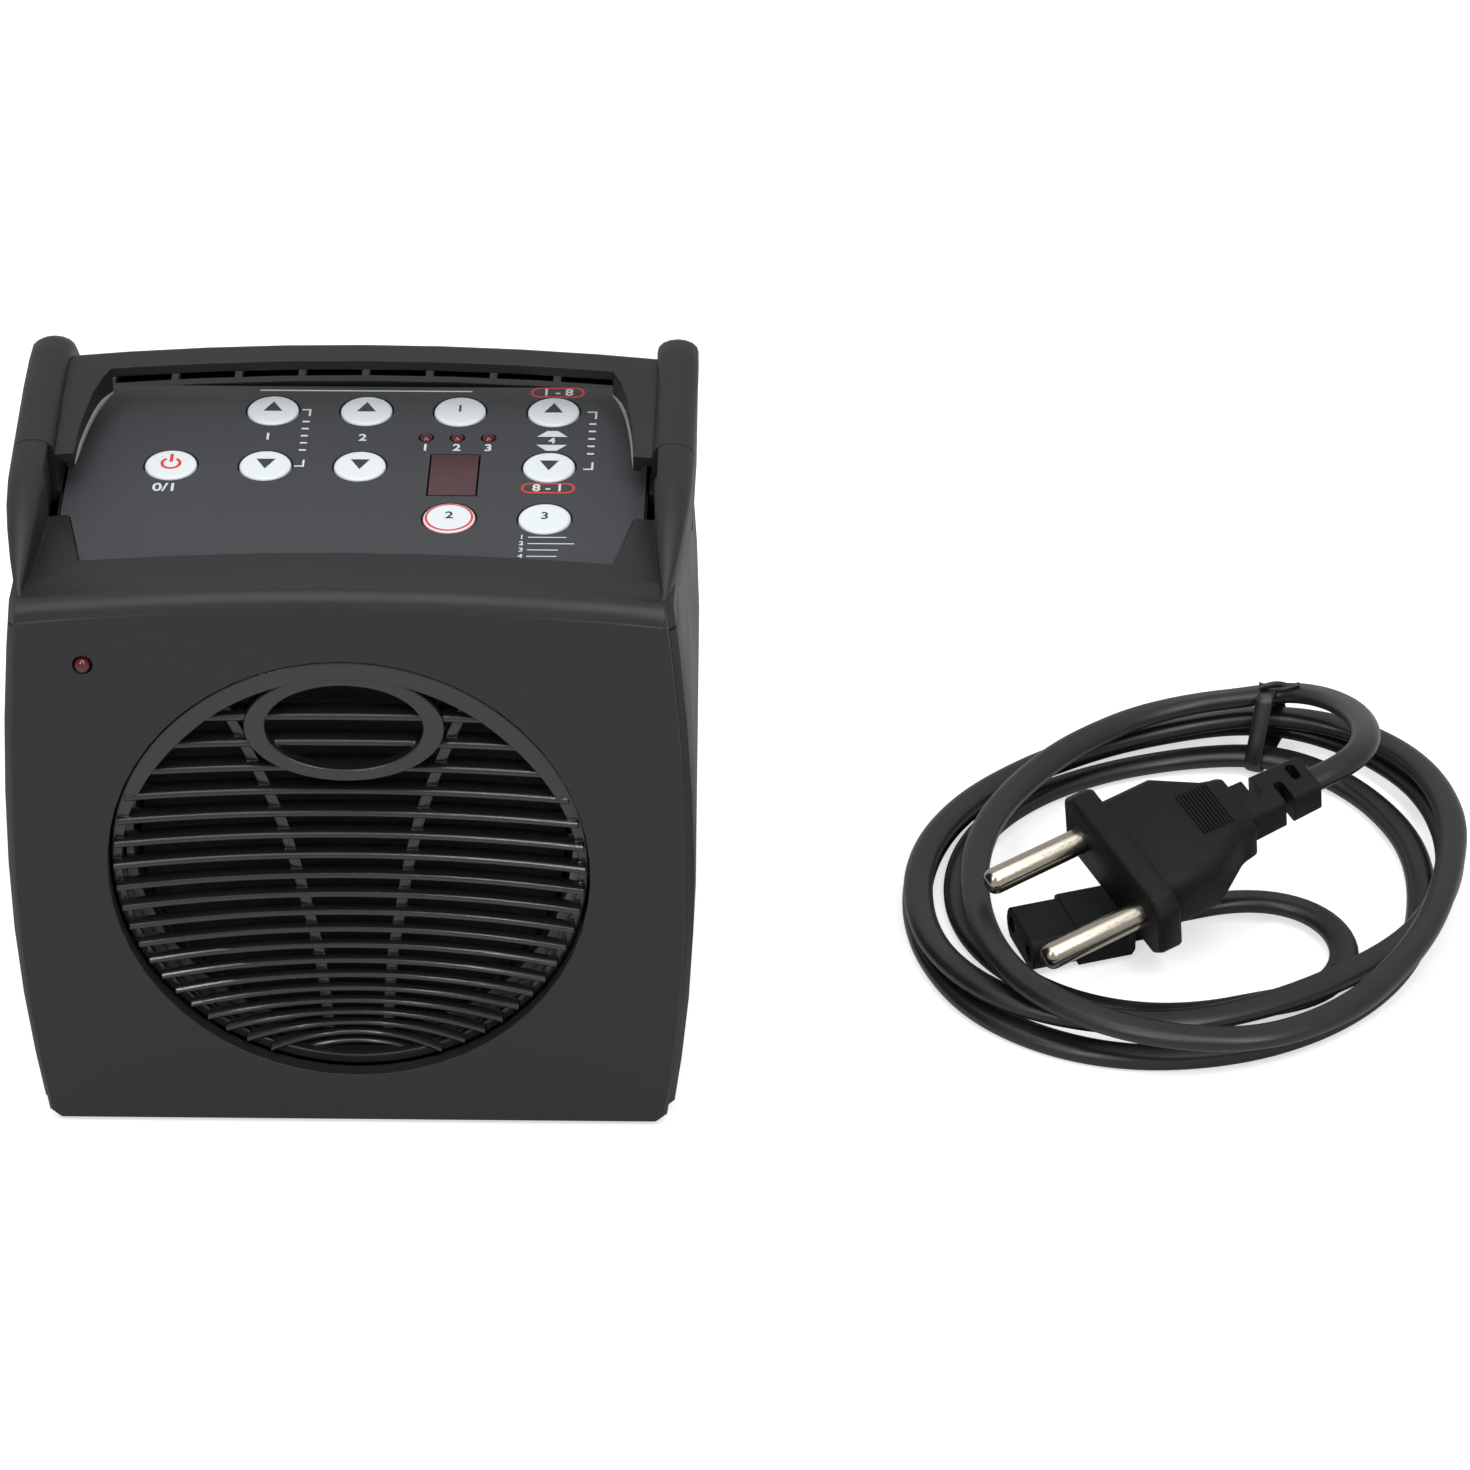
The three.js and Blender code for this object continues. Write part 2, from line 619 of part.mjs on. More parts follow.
place(unit, "front_shell", frontShell(), black);
place(unit, "rear_shell", rearShell(), black);
place(facePieces, "speaker_grille", speakerGrille().translate([0, grilleCentre, 0]), darker);

// loudspeaker: a square frame on four posts, with its cone and magnet
const front = -basketFront;
const square = 2 * speakerScrewX + 4 * speakerPostRadius;
const holes = [[-1, -1], [1, -1], [1, 1], [-1, 1]].map(([a, b]) =>
  post(speakerBore, front - overrun, overrun, 8).translate([a * speakerScrewX, b * speakerScrewX, 0]));
const basket = turned([
  [basketRadius - 3, front], [basketCorner, front], [basketCorner, front - 1.2], [basketRadius - 1, front - 1.2],
  [magnetRadius, front - basketDepth], [6, front - basketDepth], [6, front - basketDepth + 1.2],
  [magnetRadius - 1.6, front - basketDepth + 1.2], [basketRadius - 3, front - 2.4], [basketRadius - 3, front],
], 24).intersect(box(0, 0, front - basketDepth / 2, square, square, 2 * basketDepth)).subtract(union(holes));
const cone = turned([
  [0, front - 11], [5, front - 11.6], [8.5, front - 13.6], [9.5, front - 14.2], [27, front - 3.2], [29, front - 1.6],
  [31.5, front - 1.1], [34.2, front - 1.8], [34.2, front - 2.6], [31.5, front - 1.9], [29.4, front - 2.4],
  [27.4, front - 4.2], [10.4, front - 15.4], [10.4, front - 20], [0, front - 20],
], 24);
const magnet = turned([
  [0, front - basketDepth - fit], [magnetRadius, front - basketDepth - fit],
  [magnetRadius, front - basketDepth - magnetDepth], [0, front - basketDepth - magnetDepth],
], 24);
const atSpeaker = (body) => body.translate([0, grilleCentre, 0]);
const metal = { color: 0x8a8d90, roughness: 0.4, metalness: 1 };
const nickel = { color: 0xb9b5aa, roughness: 0.22, metalness: 1 };
const brass = { color: 0xb08a4a, roughness: 0.35, metalness: 1 };
const rubber = { color: 0x1c1d1e, roughness: 0.8, metalness: 0 };
const board = { color: 0x1f5a3a, roughness: 0.6, metalness: 0 };
place(facePieces, "speaker_basket", atSpeaker(basket), metal);
place(facePieces, "speaker_cone", atSpeaker(cone), { color: 0x111213, roughness: 0.9, metalness: 0 });
place(facePieces, "speaker_magnet", atSpeaker(magnet), metal);
speakerCorners.forEach(([x, u], i) => {
  const screw = turned([
    [0, front - 3.1], [2.4, front - 2.8], [2.8, front - 1.2 - fit], [speakerBore - fit, front - 1.2 - fit],
    [speakerBore - fit, -faceWall - 1.4], [0, -faceWall - 1.4],
  ], 8).translate([x, u, 0]);
  place(facePieces, `speaker_screw_${i + 1}`, screw, metal);
});

// control panel: a printed overlay on the deck plate, keys through it, switches under it
const overlayOutline = grow(recessOutline, -fit).map(([x, y]) => [x, y < 1 ? y + fit : y]);
const overlay = risingPrism(overlayOutline.map(([x, y]) => [x, y > alongPanel(panelEnd) - 1 ? y - fit : y]), -overlayThickness, 0)
  .subtract(panelHoles(keyHole, -overrun, overrun, 16));
place(panelPieces, "control_panel", overlay, { color: 0x222427, roughness: 0.45, metalness: 0 });
place(panelPieces, "display_window", box(displayX, alongPanel(displayY), -overlayThickness / 2,
  displayWidth, displayLength, overlayThickness), { color: 0x3a1014, roughness: 0.2, metalness: 0 });
place(panelPieces, "display_module", box(displayX, alongPanel(displayY),
  (keyBoardLevel + fit - overlayThickness - fit) / 2,
  displayWidth, displayLength, -overlayThickness - fit - keyBoardLevel - fit), { color: 0x6d6f70, roughness: 0.6, metalness: 0 });
const lampProfile = (low, high, radius) => [
  [0, low], [radius, low], [radius, high - radius * 0.9], [radius * 0.86, high - radius * 0.42],
  [radius * 0.5, high - radius * 0.1], [0, high],
];
lampPlaces.forEach(({ x, y }, i) => {
  const lamp = turned(lampProfile(keyBoardLevel + fit, 0.5, lampRadius), 10).translate([x, y, 0]);
  place(panelPieces, `panel_lamp_${i + 1}`, lamp, { color: 0x5a0f12, roughness: 0.2, metalness: 0 });
});
const powerLamp = turned(lampProfile(-faceWall - 1.8, 1.1, lampRadius - 0.2), 12).translate([ledX, ledUp, 0]);
place(facePieces, "power_lamp", powerLamp, { color: 0x8a1116, roughness: 0.2, metalness: 0 });

const boardLow = keyBoardLevel - boardThickness;
const spacers = [[-36, 12], [36.5, 21.8], [36.5, 37.4], [-36, 48]];
const keypad = union([
  box(0, (keyBoardFront + keyBoardBack) / 2, keyBoardLevel - boardThickness / 2,
    2 * keyBoardHalf, keyBoardBack - keyBoardFront, boardThickness),
  ...spacers.map(([x, y]) => post(2, keyBoardLevel - 0.4, plateBottom - fit, 8).translate([x, y, 0])),
  ...keyPlaces.flatMap(({ x, y }) => [
    box(x, y, keyBoardLevel + switchHeight / 2 - 0.2, switchSize, switchSize, switchHeight + 0.4),
    post(plungerRadius, keyBoardLevel + switchHeight - 0.4, keyBoardLevel + switchHeight + plungerHeight, 8).translate([x, y, 0]),
  ]),
]);
place(panelPieces, "keypad_board", keypad, board);

// each key: a flat cap, a flange under the deck plate and a short stem
const capEdge = 0.35;
const keyFoot = plateBottom - fit - keyFlange;
for (const { name, x, y } of keyPlaces) {
  const key = turned([
    [0, keyProud], [keyRadius - capEdge, keyProud], [keyRadius, keyProud - capEdge],
    [keyRadius, plateBottom - fit], [flangeRadius, plateBottom - fit], [flangeRadius, keyFoot],
    [0, keyFoot],
  ], 16);
  const mesh = place(panelPieces, `${name}_key`, key, { color: 0xe9ecef, roughness: 0.35, metalness: 0 });
  mesh.position.set(x, y, 0);
}

// inside the rear shell
const mainBoard = union([
  box(-16, 50, mainBoardLevel + boardThickness / 2, 46, 38, boardThickness),
  box(-34, 42, mainBoardLevel + 3, 12, 10, 5),
  box(-12, 58, mainBoardLevel + 2.4, 14, 14, 3.4),
  post(5, mainBoardLevel + 0.6, mainBoardLevel + 16, 14).translate([-30, 60, 0]),
  post(3.2, mainBoardLevel + 0.6, mainBoardLevel + 12, 12).translate([-8, 40, 0]),
]);
place(unit, "main_board", mainBoard, board);
const coreLow = shellWall + fit;
const transformer = union([
  box(transformerX, transformerY, coreLow + transformerHeight / 2, transformerWidth, transformerDepth * 0.6, transformerHeight),
  box(transformerX, transformerY, coreLow + transformerHeight / 2, transformerWidth * 0.6, transformerDepth, transformerHeight * 0.7),
]);
place(unit, "transformer", transformer, metal);
const back = bodyDepth - shellWall;
const inlet = union([
  box(inletX, back - inletDepth / 2 + shellWall, inletZ, inletWidth, inletDepth, inletHeight),
  box(inletX, back - fit - 0.8, inletZ, inletWidth + 8, 1.6, inletHeight + 4),
]).subtract(box(inletX, bodyDepth, inletZ, inletWidth - 2, 2 * inletDepth - 6, inletHeight - 2.4))
  .subtract(union([-1, 1].map((side) => solid(new THREE.CylinderGeometry(
    inletPinRadius + fit, inletPinRadius + fit, 60, 8)).translate([inletX + side * socketSpacing / 2, bodyDepth, inletZ]))));
place(unit, "mains_inlet", inlet, darker);
[-1, 1].forEach((side, i) => {
  const pin = solid(new THREE.CylinderGeometry(inletPinRadius, inletPinRadius, inletDepth - 2, 8))
    .translate([inletX + side * socketSpacing / 2, back - inletDepth / 2 + shellWall - 2.5, inletZ]);
  place(unit, `inlet_pin_${i + 1}`, pin, nickel);
});
caseCorners.forEach(([x, z], i) => {
  const screw = union([
    solid(new THREE.CylinderGeometry(caseHeadBore - fit, caseHeadBore - fit, 2, 10))
      .translate([x, casePostStep + fit + 1 + fit, z]),
    solid(new THREE.CylinderGeometry(caseBore - fit, caseBore - fit, caseScrewLength + 4, 6))
      .translate([x, casePostStep + fit + 1.4 - caseScrewLength / 2 - 2, z]),
  ]);
  place(unit, `case_screw_${i + 1}`, screw, metal);
});
footPlaces.forEach(([x, y], i) => {
  const foot = turned([
    [0, -footHeight], [footRadius - 0.4, -footHeight], [footRadius, -footHeight + 0.4], [footRadius, footSink - fit], [0, footSink - fit],
  ], 14).translate([x, y, 0]);
  place(unit, `rubber_foot_${i + 1}`, foot, rubber);
});

// the lead's coil: loops in three layers that cross each other, wound from the appliance end to the plug
// station: degrees wound, radius, layer height
const lowLayer = floorGap + cordHeight / 2;
const layerStep = cordHeight + 0.68;
const coilStations = [
  [0, 33.4, 0], [30, 35.4, 0], [60, 37.2, 0],
  [93, 38.5, 0], [120, 38.7, 0], [157, 37.6, 0], [200, 35.8, 0], [236, 38, 0],
  [262, 41.2, 0], [290, 40.8, 0], [322, 40, 0], [346, 41.7, 0], [375, 44.4, 0],
  [400, 47.2, 0], [425, 49.6, 0], [450, 49.8, 0], [468, 48, 0], [490, 45.6, 0],
  [520, 43.6, 0], [557, 42.4, 0], [580, 44.6, 0], [600, 48, 0.04], [620, 50, 0.24],
  [640, 50, 0.5], [660, 48.4, 0.72], [680, 46, 0.92], [702, 42.4, 1], [729, 39.8, 1],
  [752, 41, 1], [770, 43.8, 1], [788, 46, 1], [807, 48.2, 1], [825, 48.2, 1],
  [845, 46, 1], [864, 43.6, 1], [883, 41, 1], [902, 39, 1], [928, 39.2, 1],
  [950, 42, 1.02], [968, 46, 1.1], [984, 49, 1.3], [1000, 50.2, 1.52], [1020, 48.8, 1.76],
  [1040, 46.4, 1.96], [1057, 46, 2], [1080, 48, 2], [1098, 51.5, 2], [1116, 54, 2],
  [1134, 52.4, 2], [1150, 49.6, 2], [1163, 46.8, 2], [1175, 43.4, 2], [1188, 39.8, 2],
  [1205, 36.4, 2], [1230, 33.8, 2], [1256, 33.4, 2], [1282, 36.4, 2.02], [1300, 40.2, 2.08],
  [1325, 44.3, 2.22], [1350, 45.2, 2.5],
];

function smoothStation(wound, column) {
  const i = Math.max(1, coilStations.findIndex(([w]) => w >= wound));
  const [a, b] = [coilStations[i - 1], coilStations[i]];
  const before = coilStations[Math.max(i - 2, 0)];
  const after = coilStations[Math.min(i + 1, coilStations.length - 1)];
  const span = b[0] - a[0];
  const t = (wound - a[0]) / span;
  const slopeA = (b[column] - before[column]) / Math.max(b[0] - before[0], 1) * span;
  const slopeB = (after[column] - a[column]) / Math.max(after[0] - a[0], 1) * span;
  return (1 + 2 * t) * (1 - t) ** 2 * a[column] + t * (1 - t) ** 2 * slopeA
    + t * t * (3 - 2 * t) * b[column] + t * t * (t - 1) * slopeB;
}

function coilPoint(wound) {
  const angle = THREE.MathUtils.degToRad(coilStart - wound);
  const radius = smoothStation(wound, 1);
  const lift = tieLift * Math.exp(-(((angleFromTie(angle)) / 0.3) ** 2));
  return [
    coilX + radius * Math.cos(angle),
    coilY + radius * Math.sin(angle),
    lowLayer + layerStep * smoothStation(wound, 2) + lift,
  ];
}
const tieLift = 1.3;
const tieRadius = 44.3;
const tieHalf = 8.8;
const tieThickness = 0.8;
const tieLow = 0.85;
const tieHigh = 14.4;
const tieFootRound = 2;
const tieHeadRound = 3.4;
const tieWidth = 3;
const tieAngle = THREE.MathUtils.degToRad(70);
function angleFromTie(angle) {
  const turn = 2 * Math.PI;
  return ((angle - tieAngle + 5 * turn + Math.PI) % turn) - Math.PI;
}

// a smooth run between two points with given headings
function bridgeRun(from, fromHeading, to, toHeading, reach, steps) {
  const a = new THREE.Vector3(...from);
  const d = new THREE.Vector3(...to);
  const b = a.clone().addScaledVector(new THREE.Vector3(...fromHeading).normalize(), reach[0]);
  const c = d.clone().addScaledVector(new THREE.Vector3(...toHeading).normalize(), -reach[1]);
  return new THREE.CubicBezierCurve3(a, b, c, d).getPoints(steps).map((p) => p.toArray());
}

// the plug lies on the coil, its pins pointing front left and a little down
const plugPin = new THREE.Vector3(-0.863, -0.472, -0.176).normalize();
const plugBase = new THREE.Vector3(122.65, 6.5, 15.3);
const plugAcross = new THREE.Vector3(0.5, -0.842, -0.19);
plugAcross.addScaledVector(plugPin, -plugAcross.dot(plugPin)).normalize();
const plugUp = plugPin.clone().cross(plugAcross).normalize();
if (plugUp.z < 0) plugUp.negate();
const plugSide = plugUp.clone().cross(plugPin).normalize();
const plugPieces = new THREE.Group();
new THREE.Matrix4().makeBasis(plugPin, plugSide, plugUp).setPosition(plugBase)
  .decompose(plugPieces.position, plugPieces.quaternion, plugPieces.scale);
const atPlug = (x, y, z) => new THREE.Vector3(x, y, z).applyQuaternion(plugPieces.quaternion).add(plugBase);

// in the plug's frame x points along the pins, z up
const flangeThick = 4.5;
const plugLength = 38.6;
const flangeHalf = 15.6;
const flangeHigh = 7;
const flangeChamfer = 2.6;
const flangeSide = flangeHalf - flangeChamfer;
const flangeShoulder = flangeHigh - flangeChamfer;
const flange = widePrism([[-flangeHalf, -flangeShoulder], [-flangeSide, -flangeHigh], [flangeSide, -flangeHigh],
  [flangeHalf, -flangeShoulder], [flangeHalf, flangeShoulder], [flangeSide, flangeHigh], [-flangeSide, flangeHigh],
  [-flangeHalf, flangeShoulder]], -flangeThick, 0);
const plugNeck = 24.5;
const bodyPlan = [[-flangeThick + 0.5, -12], [-flangeThick + 0.5, 12], [-14, 12], [-21.5, 6.8], [-plugNeck, 6.8],
  [-plugNeck, -6.8], [-21.5, -6.8], [-14, -12]];
const bodySection = [[-12, -4.2], [-10, -6], [10, -6], [12, -4.2], [12, 4.2], [10, 6], [-10, 6], [-12, 4.2]];
const relief = box(-(plugNeck + plugLength) / 2 + 0.4, 0, 0, plugLength - plugNeck + 0.8, 8.6, 7);
const reliefCuts = [[-27.4, 2.6], [-31.2, -2.4], [-34.6, 1.6]].map(([x, y], i) => box(x, y, 0, 1.3, i < 2 ? 5 : 3.6, 20));
const grip = [0, 1, 2, 3, 4, 5, 6, 7].map((i) => box(-12.5 - 1.1 * i, 0, 6, 0.5, 9, 0.8));
const plugBody = union([
  flange,
  risingPrism(bodyPlan, -6, 6).intersect(widePrism(bodySection, -2 * plugNeck, 0)),
  relief,
  ...grip,
]).subtract(union(reliefCuts))
  .subtract(union([-1, 1].map((side) => solid(new THREE.CylinderGeometry(pinRadius + fit, pinRadius + fit, 6, 16)
    .rotateZ(Math.PI / 2)).translate([0, side * pinSpacing / 2, 0]))));
place(plugPieces, "plug_body", plugBody, darker);
[-1, 1].forEach((side, i) => {
  const pin = solid(new THREE.LatheGeometry([
    [0, -2.6], [pinRadius, -2.6], [pinRadius, pinLength - 1.6], [pinRadius * 0.8, pinLength - 0.5],
    [pinRadius * 0.45, pinLength], [0, pinLength],
  ].map(([r, y]) => new THREE.Vector2(r, y)), 14).rotateZ(-Math.PI / 2)).translate([0, side * pinSpacing / 2, 0]);
  place(plugPieces, `plug_pin_${i + 1}`, pin, nickel);
});

// the figure-8 connector lies inside the loops, under the plug's pins
const connectorFace = new THREE.Vector3(107.6, 4.6, 0.2 + connectorHeight / 2);
const connectorTurn = THREE.MathUtils.degToRad(19.1);
const connectorPieces = new THREE.Group();
connectorPieces.position.copy(connectorFace);
connectorPieces.rotation.z = connectorTurn;
const halfW = connectorWidth / 2;
const halfH = connectorHeight / 2;
const figure = [];
for (const [side, from] of [[1, -60], [-1, 120]]) {
  for (let k = 0; k <= 6; k++) {
    const a = THREE.MathUtils.degToRad(from + 20 * k);
    figure.push([side * (halfW - halfH) + halfH * Math.cos(a), halfH * Math.sin(a)]);
  }
}
const nose = widePrism(figure, 0, 9);
const shoulder = widePrism([[-halfW, -2.4], [-halfW + 1.2, -halfH], [halfW - 1.2, -halfH], [halfW, -2.4],
  [halfW, 2.4], [halfW - 1.2, halfH], [-halfW + 1.2, halfH], [-halfW, 2.4]], 8.4, 19)
  .intersect(risingPrism([[0, -halfW - 1], [16, -halfW - 1], [19, -4.4], [19, 4.4], [16, halfW + 1], [0, halfW + 1]], -9, 9));
const tail = box(connectorLength - 4, 0, -0.5, 12, 6.4, 4.6);
const connector = union([nose, shoulder, tail]).subtract(union([-1, 1].map((side) =>
  solid(new THREE.CylinderGeometry(1.5, 1.5, 24, 10).rotateZ(Math.PI / 2)).translate([0, side * socketSpacing / 2, 0]))));
place(connectorPieces, "appliance_connector", connector, darker);
[-1, 1].forEach((side, i) => {
  const socket = turned([[0.75, 0], [1.2, 0], [1.2, 11], [0, 11], [0, 10], [0.75, 10], [0.75, 0]], 8);
  const laid = socket.rotate([0, 90, 0]).translate([0.6, side * socketSpacing / 2, 0]);
  place(connectorPieces, `connector_socket_${i + 1}`, laid, brass);
});

// the cord itself, from the connector's tail through the loops to the plug's strain relief
const tailEnd = new THREE.Vector3(connectorLength + 2 + fit, 0, -0.5).applyAxisAngle(new THREE.Vector3(0, 0, 1), connectorTurn)
  .add(connectorFace);
const tailWay = [Math.cos(connectorTurn), Math.sin(connectorTurn), 0];
const plugEnd = atPlug(-plugLength - fit, 0, 0);
const plugWay = plugPin.toArray();
const straight = cordWidth;
const tailStart = tailEnd.clone().addScaledVector(new THREE.Vector3(...tailWay), straight);
const plugStart = plugEnd.clone().addScaledVector(plugPin, -straight);
const coilFrom = 30;
const coilTo = 1320;
const stepAngle = 15;
const headingAt = (wound) => {
  const [a, b] = [coilPoint(wound - 1), coilPoint(wound + 1)];
  return b.map((v, k) => v - a[k]);
};
const coilPoints = [];
for (let wound = coilFrom; wound <= coilTo; wound += stepAngle) coilPoints.push(coilPoint(wound));
const lastWound = coilFrom + stepAngle * (coilPoints.length - 1);
// the coil keeps a small gap to each tail, and both meet square over a straight end
function squareEnd(end, next) {
  const a = new THREE.Vector3(...end);
  const away = a.clone().sub(new THREE.Vector3(...next)).normalize();
  return [a.clone().addScaledVector(away, fit), a.clone().addScaledVector(away, fit + straight), away];
}
const [lowJoin, lowTurn, lowWay] = squareEnd(coilPoints[0], coilPoints[1]);
const [highJoin, highTurn, highWay] = squareEnd(coilPoints.at(-1), coilPoints.at(-2));
const applianceTail = [
  tailEnd.toArray(),
  ...bridgeRun(tailStart.toArray(), tailWay, lowTurn.toArray(), lowWay.clone().negate().toArray(), [26, 20], 11),
  lowJoin.toArray(),
];
const plugTail = [
  highJoin.toArray(),
  ...bridgeRun(highTurn.toArray(), highWay.toArray(), plugStart.toArray(), plugWay, [13, 14], 7),
  plugEnd.toArray(),
];
const cordPoints = [...applianceTail, ...coilPoints, ...plugTail];
const cordSection = [
  [-cordWidth / 2, 0], [-cordWidth / 4, cordHeight / 2], [cordWidth / 4, cordHeight / 2],
  [cordWidth / 2, 0], [cordWidth / 4, -cordHeight / 2], [-cordWidth / 4, -cordHeight / 2],
];

// least gap between loops, on points well apart along the cord
function leastGap(points) {
  const dense = points.slice(1).flatMap((p, i) => [0, 0.25, 0.5, 0.75].map((t) =>
    points[i].map((v, k) => v + (p[k] - v) * t)));
  let least = Infinity;
  for (let i = 0; i < dense.length; i++) {
    for (let j = i + 12; j < dense.length; j++) {
      const [a, b] = [dense[i], dense[j]];
      const across = Math.hypot(a[0] - b[0], a[1] - b[1]);
      const up = Math.abs(a[2] - b[2]);
      const gap = Math.hypot(Math.max(across - cordWidth, 0), Math.max(up - cordHeight, 0));
      least = Math.min(least, gap);
    }
  }
  return least;
}
const length = cordPoints.slice(1).reduce((sum, p, i) => sum + Math.hypot(...p.map((v, k) => v - cordPoints[i][k])), 0);
const least = leastGap(cordPoints);
console.log(`cord length ${length.toFixed(0)} mm, least gap ${least.toFixed(2)} mm`);

const lead = new THREE.Group();
lead.add(plugPieces, connectorPieces);
place(lead, "appliance_tail", sweep(applianceTail, cordSection), rubber);
place(lead, "lead_coil", sweep(coilPoints, cordSection), rubber);
place(lead, "plug_tail", sweep(plugTail, cordSection), rubber);

// a thin tie round all the strands, with its twisted end on top
const tieGroup = new THREE.Group();
tieGroup.position.set(coilX + tieRadius * Math.cos(tieAngle), coilY + tieRadius * Math.sin(tieAngle), 0);
tieGroup.rotation.z = tieAngle;
const tieOutline = (by) => {
  const [w, low, high] = [tieHalf + by, tieLow - by, tieHigh + by];
  return [[-w + tieFootRound, low], [w - tieFootRound, low], [w, low + tieFootRound], [w, high - tieHeadRound],
    [w - tieHeadRound, high], [-w + tieHeadRound, high], [-w, high - tieHeadRound], [-w, low + tieFootRound]];
};
const tie = deepPrism(tieOutline(tieThickness), -tieWidth / 2, tieWidth / 2)
  .subtract(deepPrism(tieOutline(0), -tieWidth, tieWidth))
  .add(solid(new THREE.CapsuleGeometry(1.1, 5, 3, 8).rotateZ(-0.5)).translate([2, 2.4, tieHigh + 1.2]));
lead.add(tieGroup);
place(tieGroup, "lead_tie", tie, rubber);

const part = new THREE.Group();
part.add(unit, lead);

export default part;
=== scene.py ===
import math

import bmesh
import bpy
from mathutils import Euler, Matrix, Vector


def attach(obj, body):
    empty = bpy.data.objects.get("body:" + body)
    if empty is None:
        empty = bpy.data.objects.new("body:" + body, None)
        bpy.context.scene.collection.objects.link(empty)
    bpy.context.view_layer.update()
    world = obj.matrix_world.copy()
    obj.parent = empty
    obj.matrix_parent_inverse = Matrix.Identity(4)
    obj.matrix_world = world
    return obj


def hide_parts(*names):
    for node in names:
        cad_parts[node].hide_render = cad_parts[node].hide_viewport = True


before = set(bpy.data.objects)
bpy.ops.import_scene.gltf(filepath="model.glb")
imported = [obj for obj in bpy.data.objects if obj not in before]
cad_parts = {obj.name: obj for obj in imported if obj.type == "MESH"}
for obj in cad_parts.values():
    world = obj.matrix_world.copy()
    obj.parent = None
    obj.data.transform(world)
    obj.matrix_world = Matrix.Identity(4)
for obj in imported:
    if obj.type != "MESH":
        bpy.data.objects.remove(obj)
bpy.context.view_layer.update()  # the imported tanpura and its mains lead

scene = bpy.context.scene
scene.view_settings.view_transform = "Standard"
mm = 0.001  # a millimetre in Blender's metres
housing = "housing"  # the body that everything but the keys rides on


def newObject(name, data):
    made = bpy.data.objects.new(name, data)
    scene.collection.objects.link(made)
    return made


# an object's final mesh, with its modifiers worked in; the object itself goes
def frozen(holder):
    made = bpy.data.meshes.new_from_object(holder.evaluated_get(bpy.context.evaluated_depsgraph_get()))
    holder.modifiers.clear()
    bpy.data.objects.remove(holder)
    return made


# camera at the photograph's angle: a long lens from the front, a little to the right
camera = {
    "place": (93.69, -1000.72, 733.79),
    "elevation": 34.42,
    "yaw": -1.901,
    "roll": -0.646,
    "focalPixels": 7427.1,
    "imagePixels": 1470,
    "sensor": 36.0,
    "clip": (0.05, 20),
}


def addCamera():
    lift, turn, tilt = (math.radians(camera[k]) for k in ("elevation", "yaw", "roll"))
    forward = Vector((math.sin(turn) * math.cos(lift), math.cos(turn) * math.cos(lift), -math.sin(lift)))
    right = Vector((math.cos(turn), -math.sin(turn), 0))
    up = right.cross(forward)
    rolledRight = right * math.cos(tilt) + up * math.sin(tilt)
    rolledUp = up * math.cos(tilt) - right * math.sin(tilt)
    data = bpy.data.cameras.new("camera")
    data.sensor_width = camera["sensor"]
    data.lens = camera["focalPixels"] * camera["sensor"] / camera["imagePixels"]
    data.clip_start, data.clip_end = camera["clip"]
    made = newObject("camera", data)
    columns = Matrix((rolledRight, rolledUp, -forward)).transposed().to_4x4()
    made.matrix_world = Matrix.Translation(Vector(camera["place"]) * mm) @ columns
    scene.camera = made


addCamera()
print("camera placed")


# one function turns sRGB hex into the linear colour of a socket
def linear(text):
    parts = [int(text[i:i + 2], 16) / 255 for i in (1, 3, 5)]
    return tuple(p / 12.92 if p <= 0.04045 else ((p + 0.055) / 1.055) ** 2.4 for p in parts) + (1,)


# adds a node with its settings, and its inputs from sockets or plain values
def addNode(tree, kind, settings=None, inputs=None):
    made = tree.nodes.new(kind)
    for key, value in (settings or {}).items():
        setattr(made, key, value)
    for key, value in (inputs or {}).items():
        if isinstance(value, bpy.types.NodeSocket):
            tree.links.new(value, made.inputs[key])
        else:
            made.inputs[key].default_value = value
    return made


def perMm(size):
    return 1000 / size  # a texture scale in metres for a feature of this size in mm


def newMaterial(name, shader):
    made = bpy.data.materials.new(name)
    made.use_nodes = True
    tree = made.node_tree
    tree.nodes.clear()
    surface = addNode(tree, "ShaderNodeBsdfPrincipled", None, shader)
    addNode(tree, "ShaderNodeOutputMaterial", None, {"Surface": surface.outputs[0]})
    place = addNode(tree, "ShaderNodeTexCoord").outputs["Object"]
    return made, tree, surface, place


# one pattern moves the colour between two tones, another moves the roughness between two values
def toneAndGloss(tree, surface, colours, rough, tonePattern, glossPattern, reach=(0.0, 1.0)):
    tone = addNode(tree, "ShaderNodeMix", {"data_type": "RGBA"},
                   {0: tonePattern, 6: linear(colours[0]), 7: linear(colours[1])})
    tree.links.new(tone.outputs[2], surface.inputs["Base Color"])
    gloss = addNode(tree, "ShaderNodeMapRange", None,
                    {"Value": glossPattern, "From Min": reach[0], "From Max": reach[1],
                     "To Min": rough[0], "To Max": rough[1]}).outputs[0]
    tree.links.new(gloss, surface.inputs["Roughness"])
    return gloss


noiseReach = (0.3, 0.7)  # where nearly all of a noise texture's values lie
wornAngle = (0.97, 0.8)  # cosines between which an edge goes from plain to fully rubbed
wornGloss = 0.12  # how much smoother a rubbed edge is


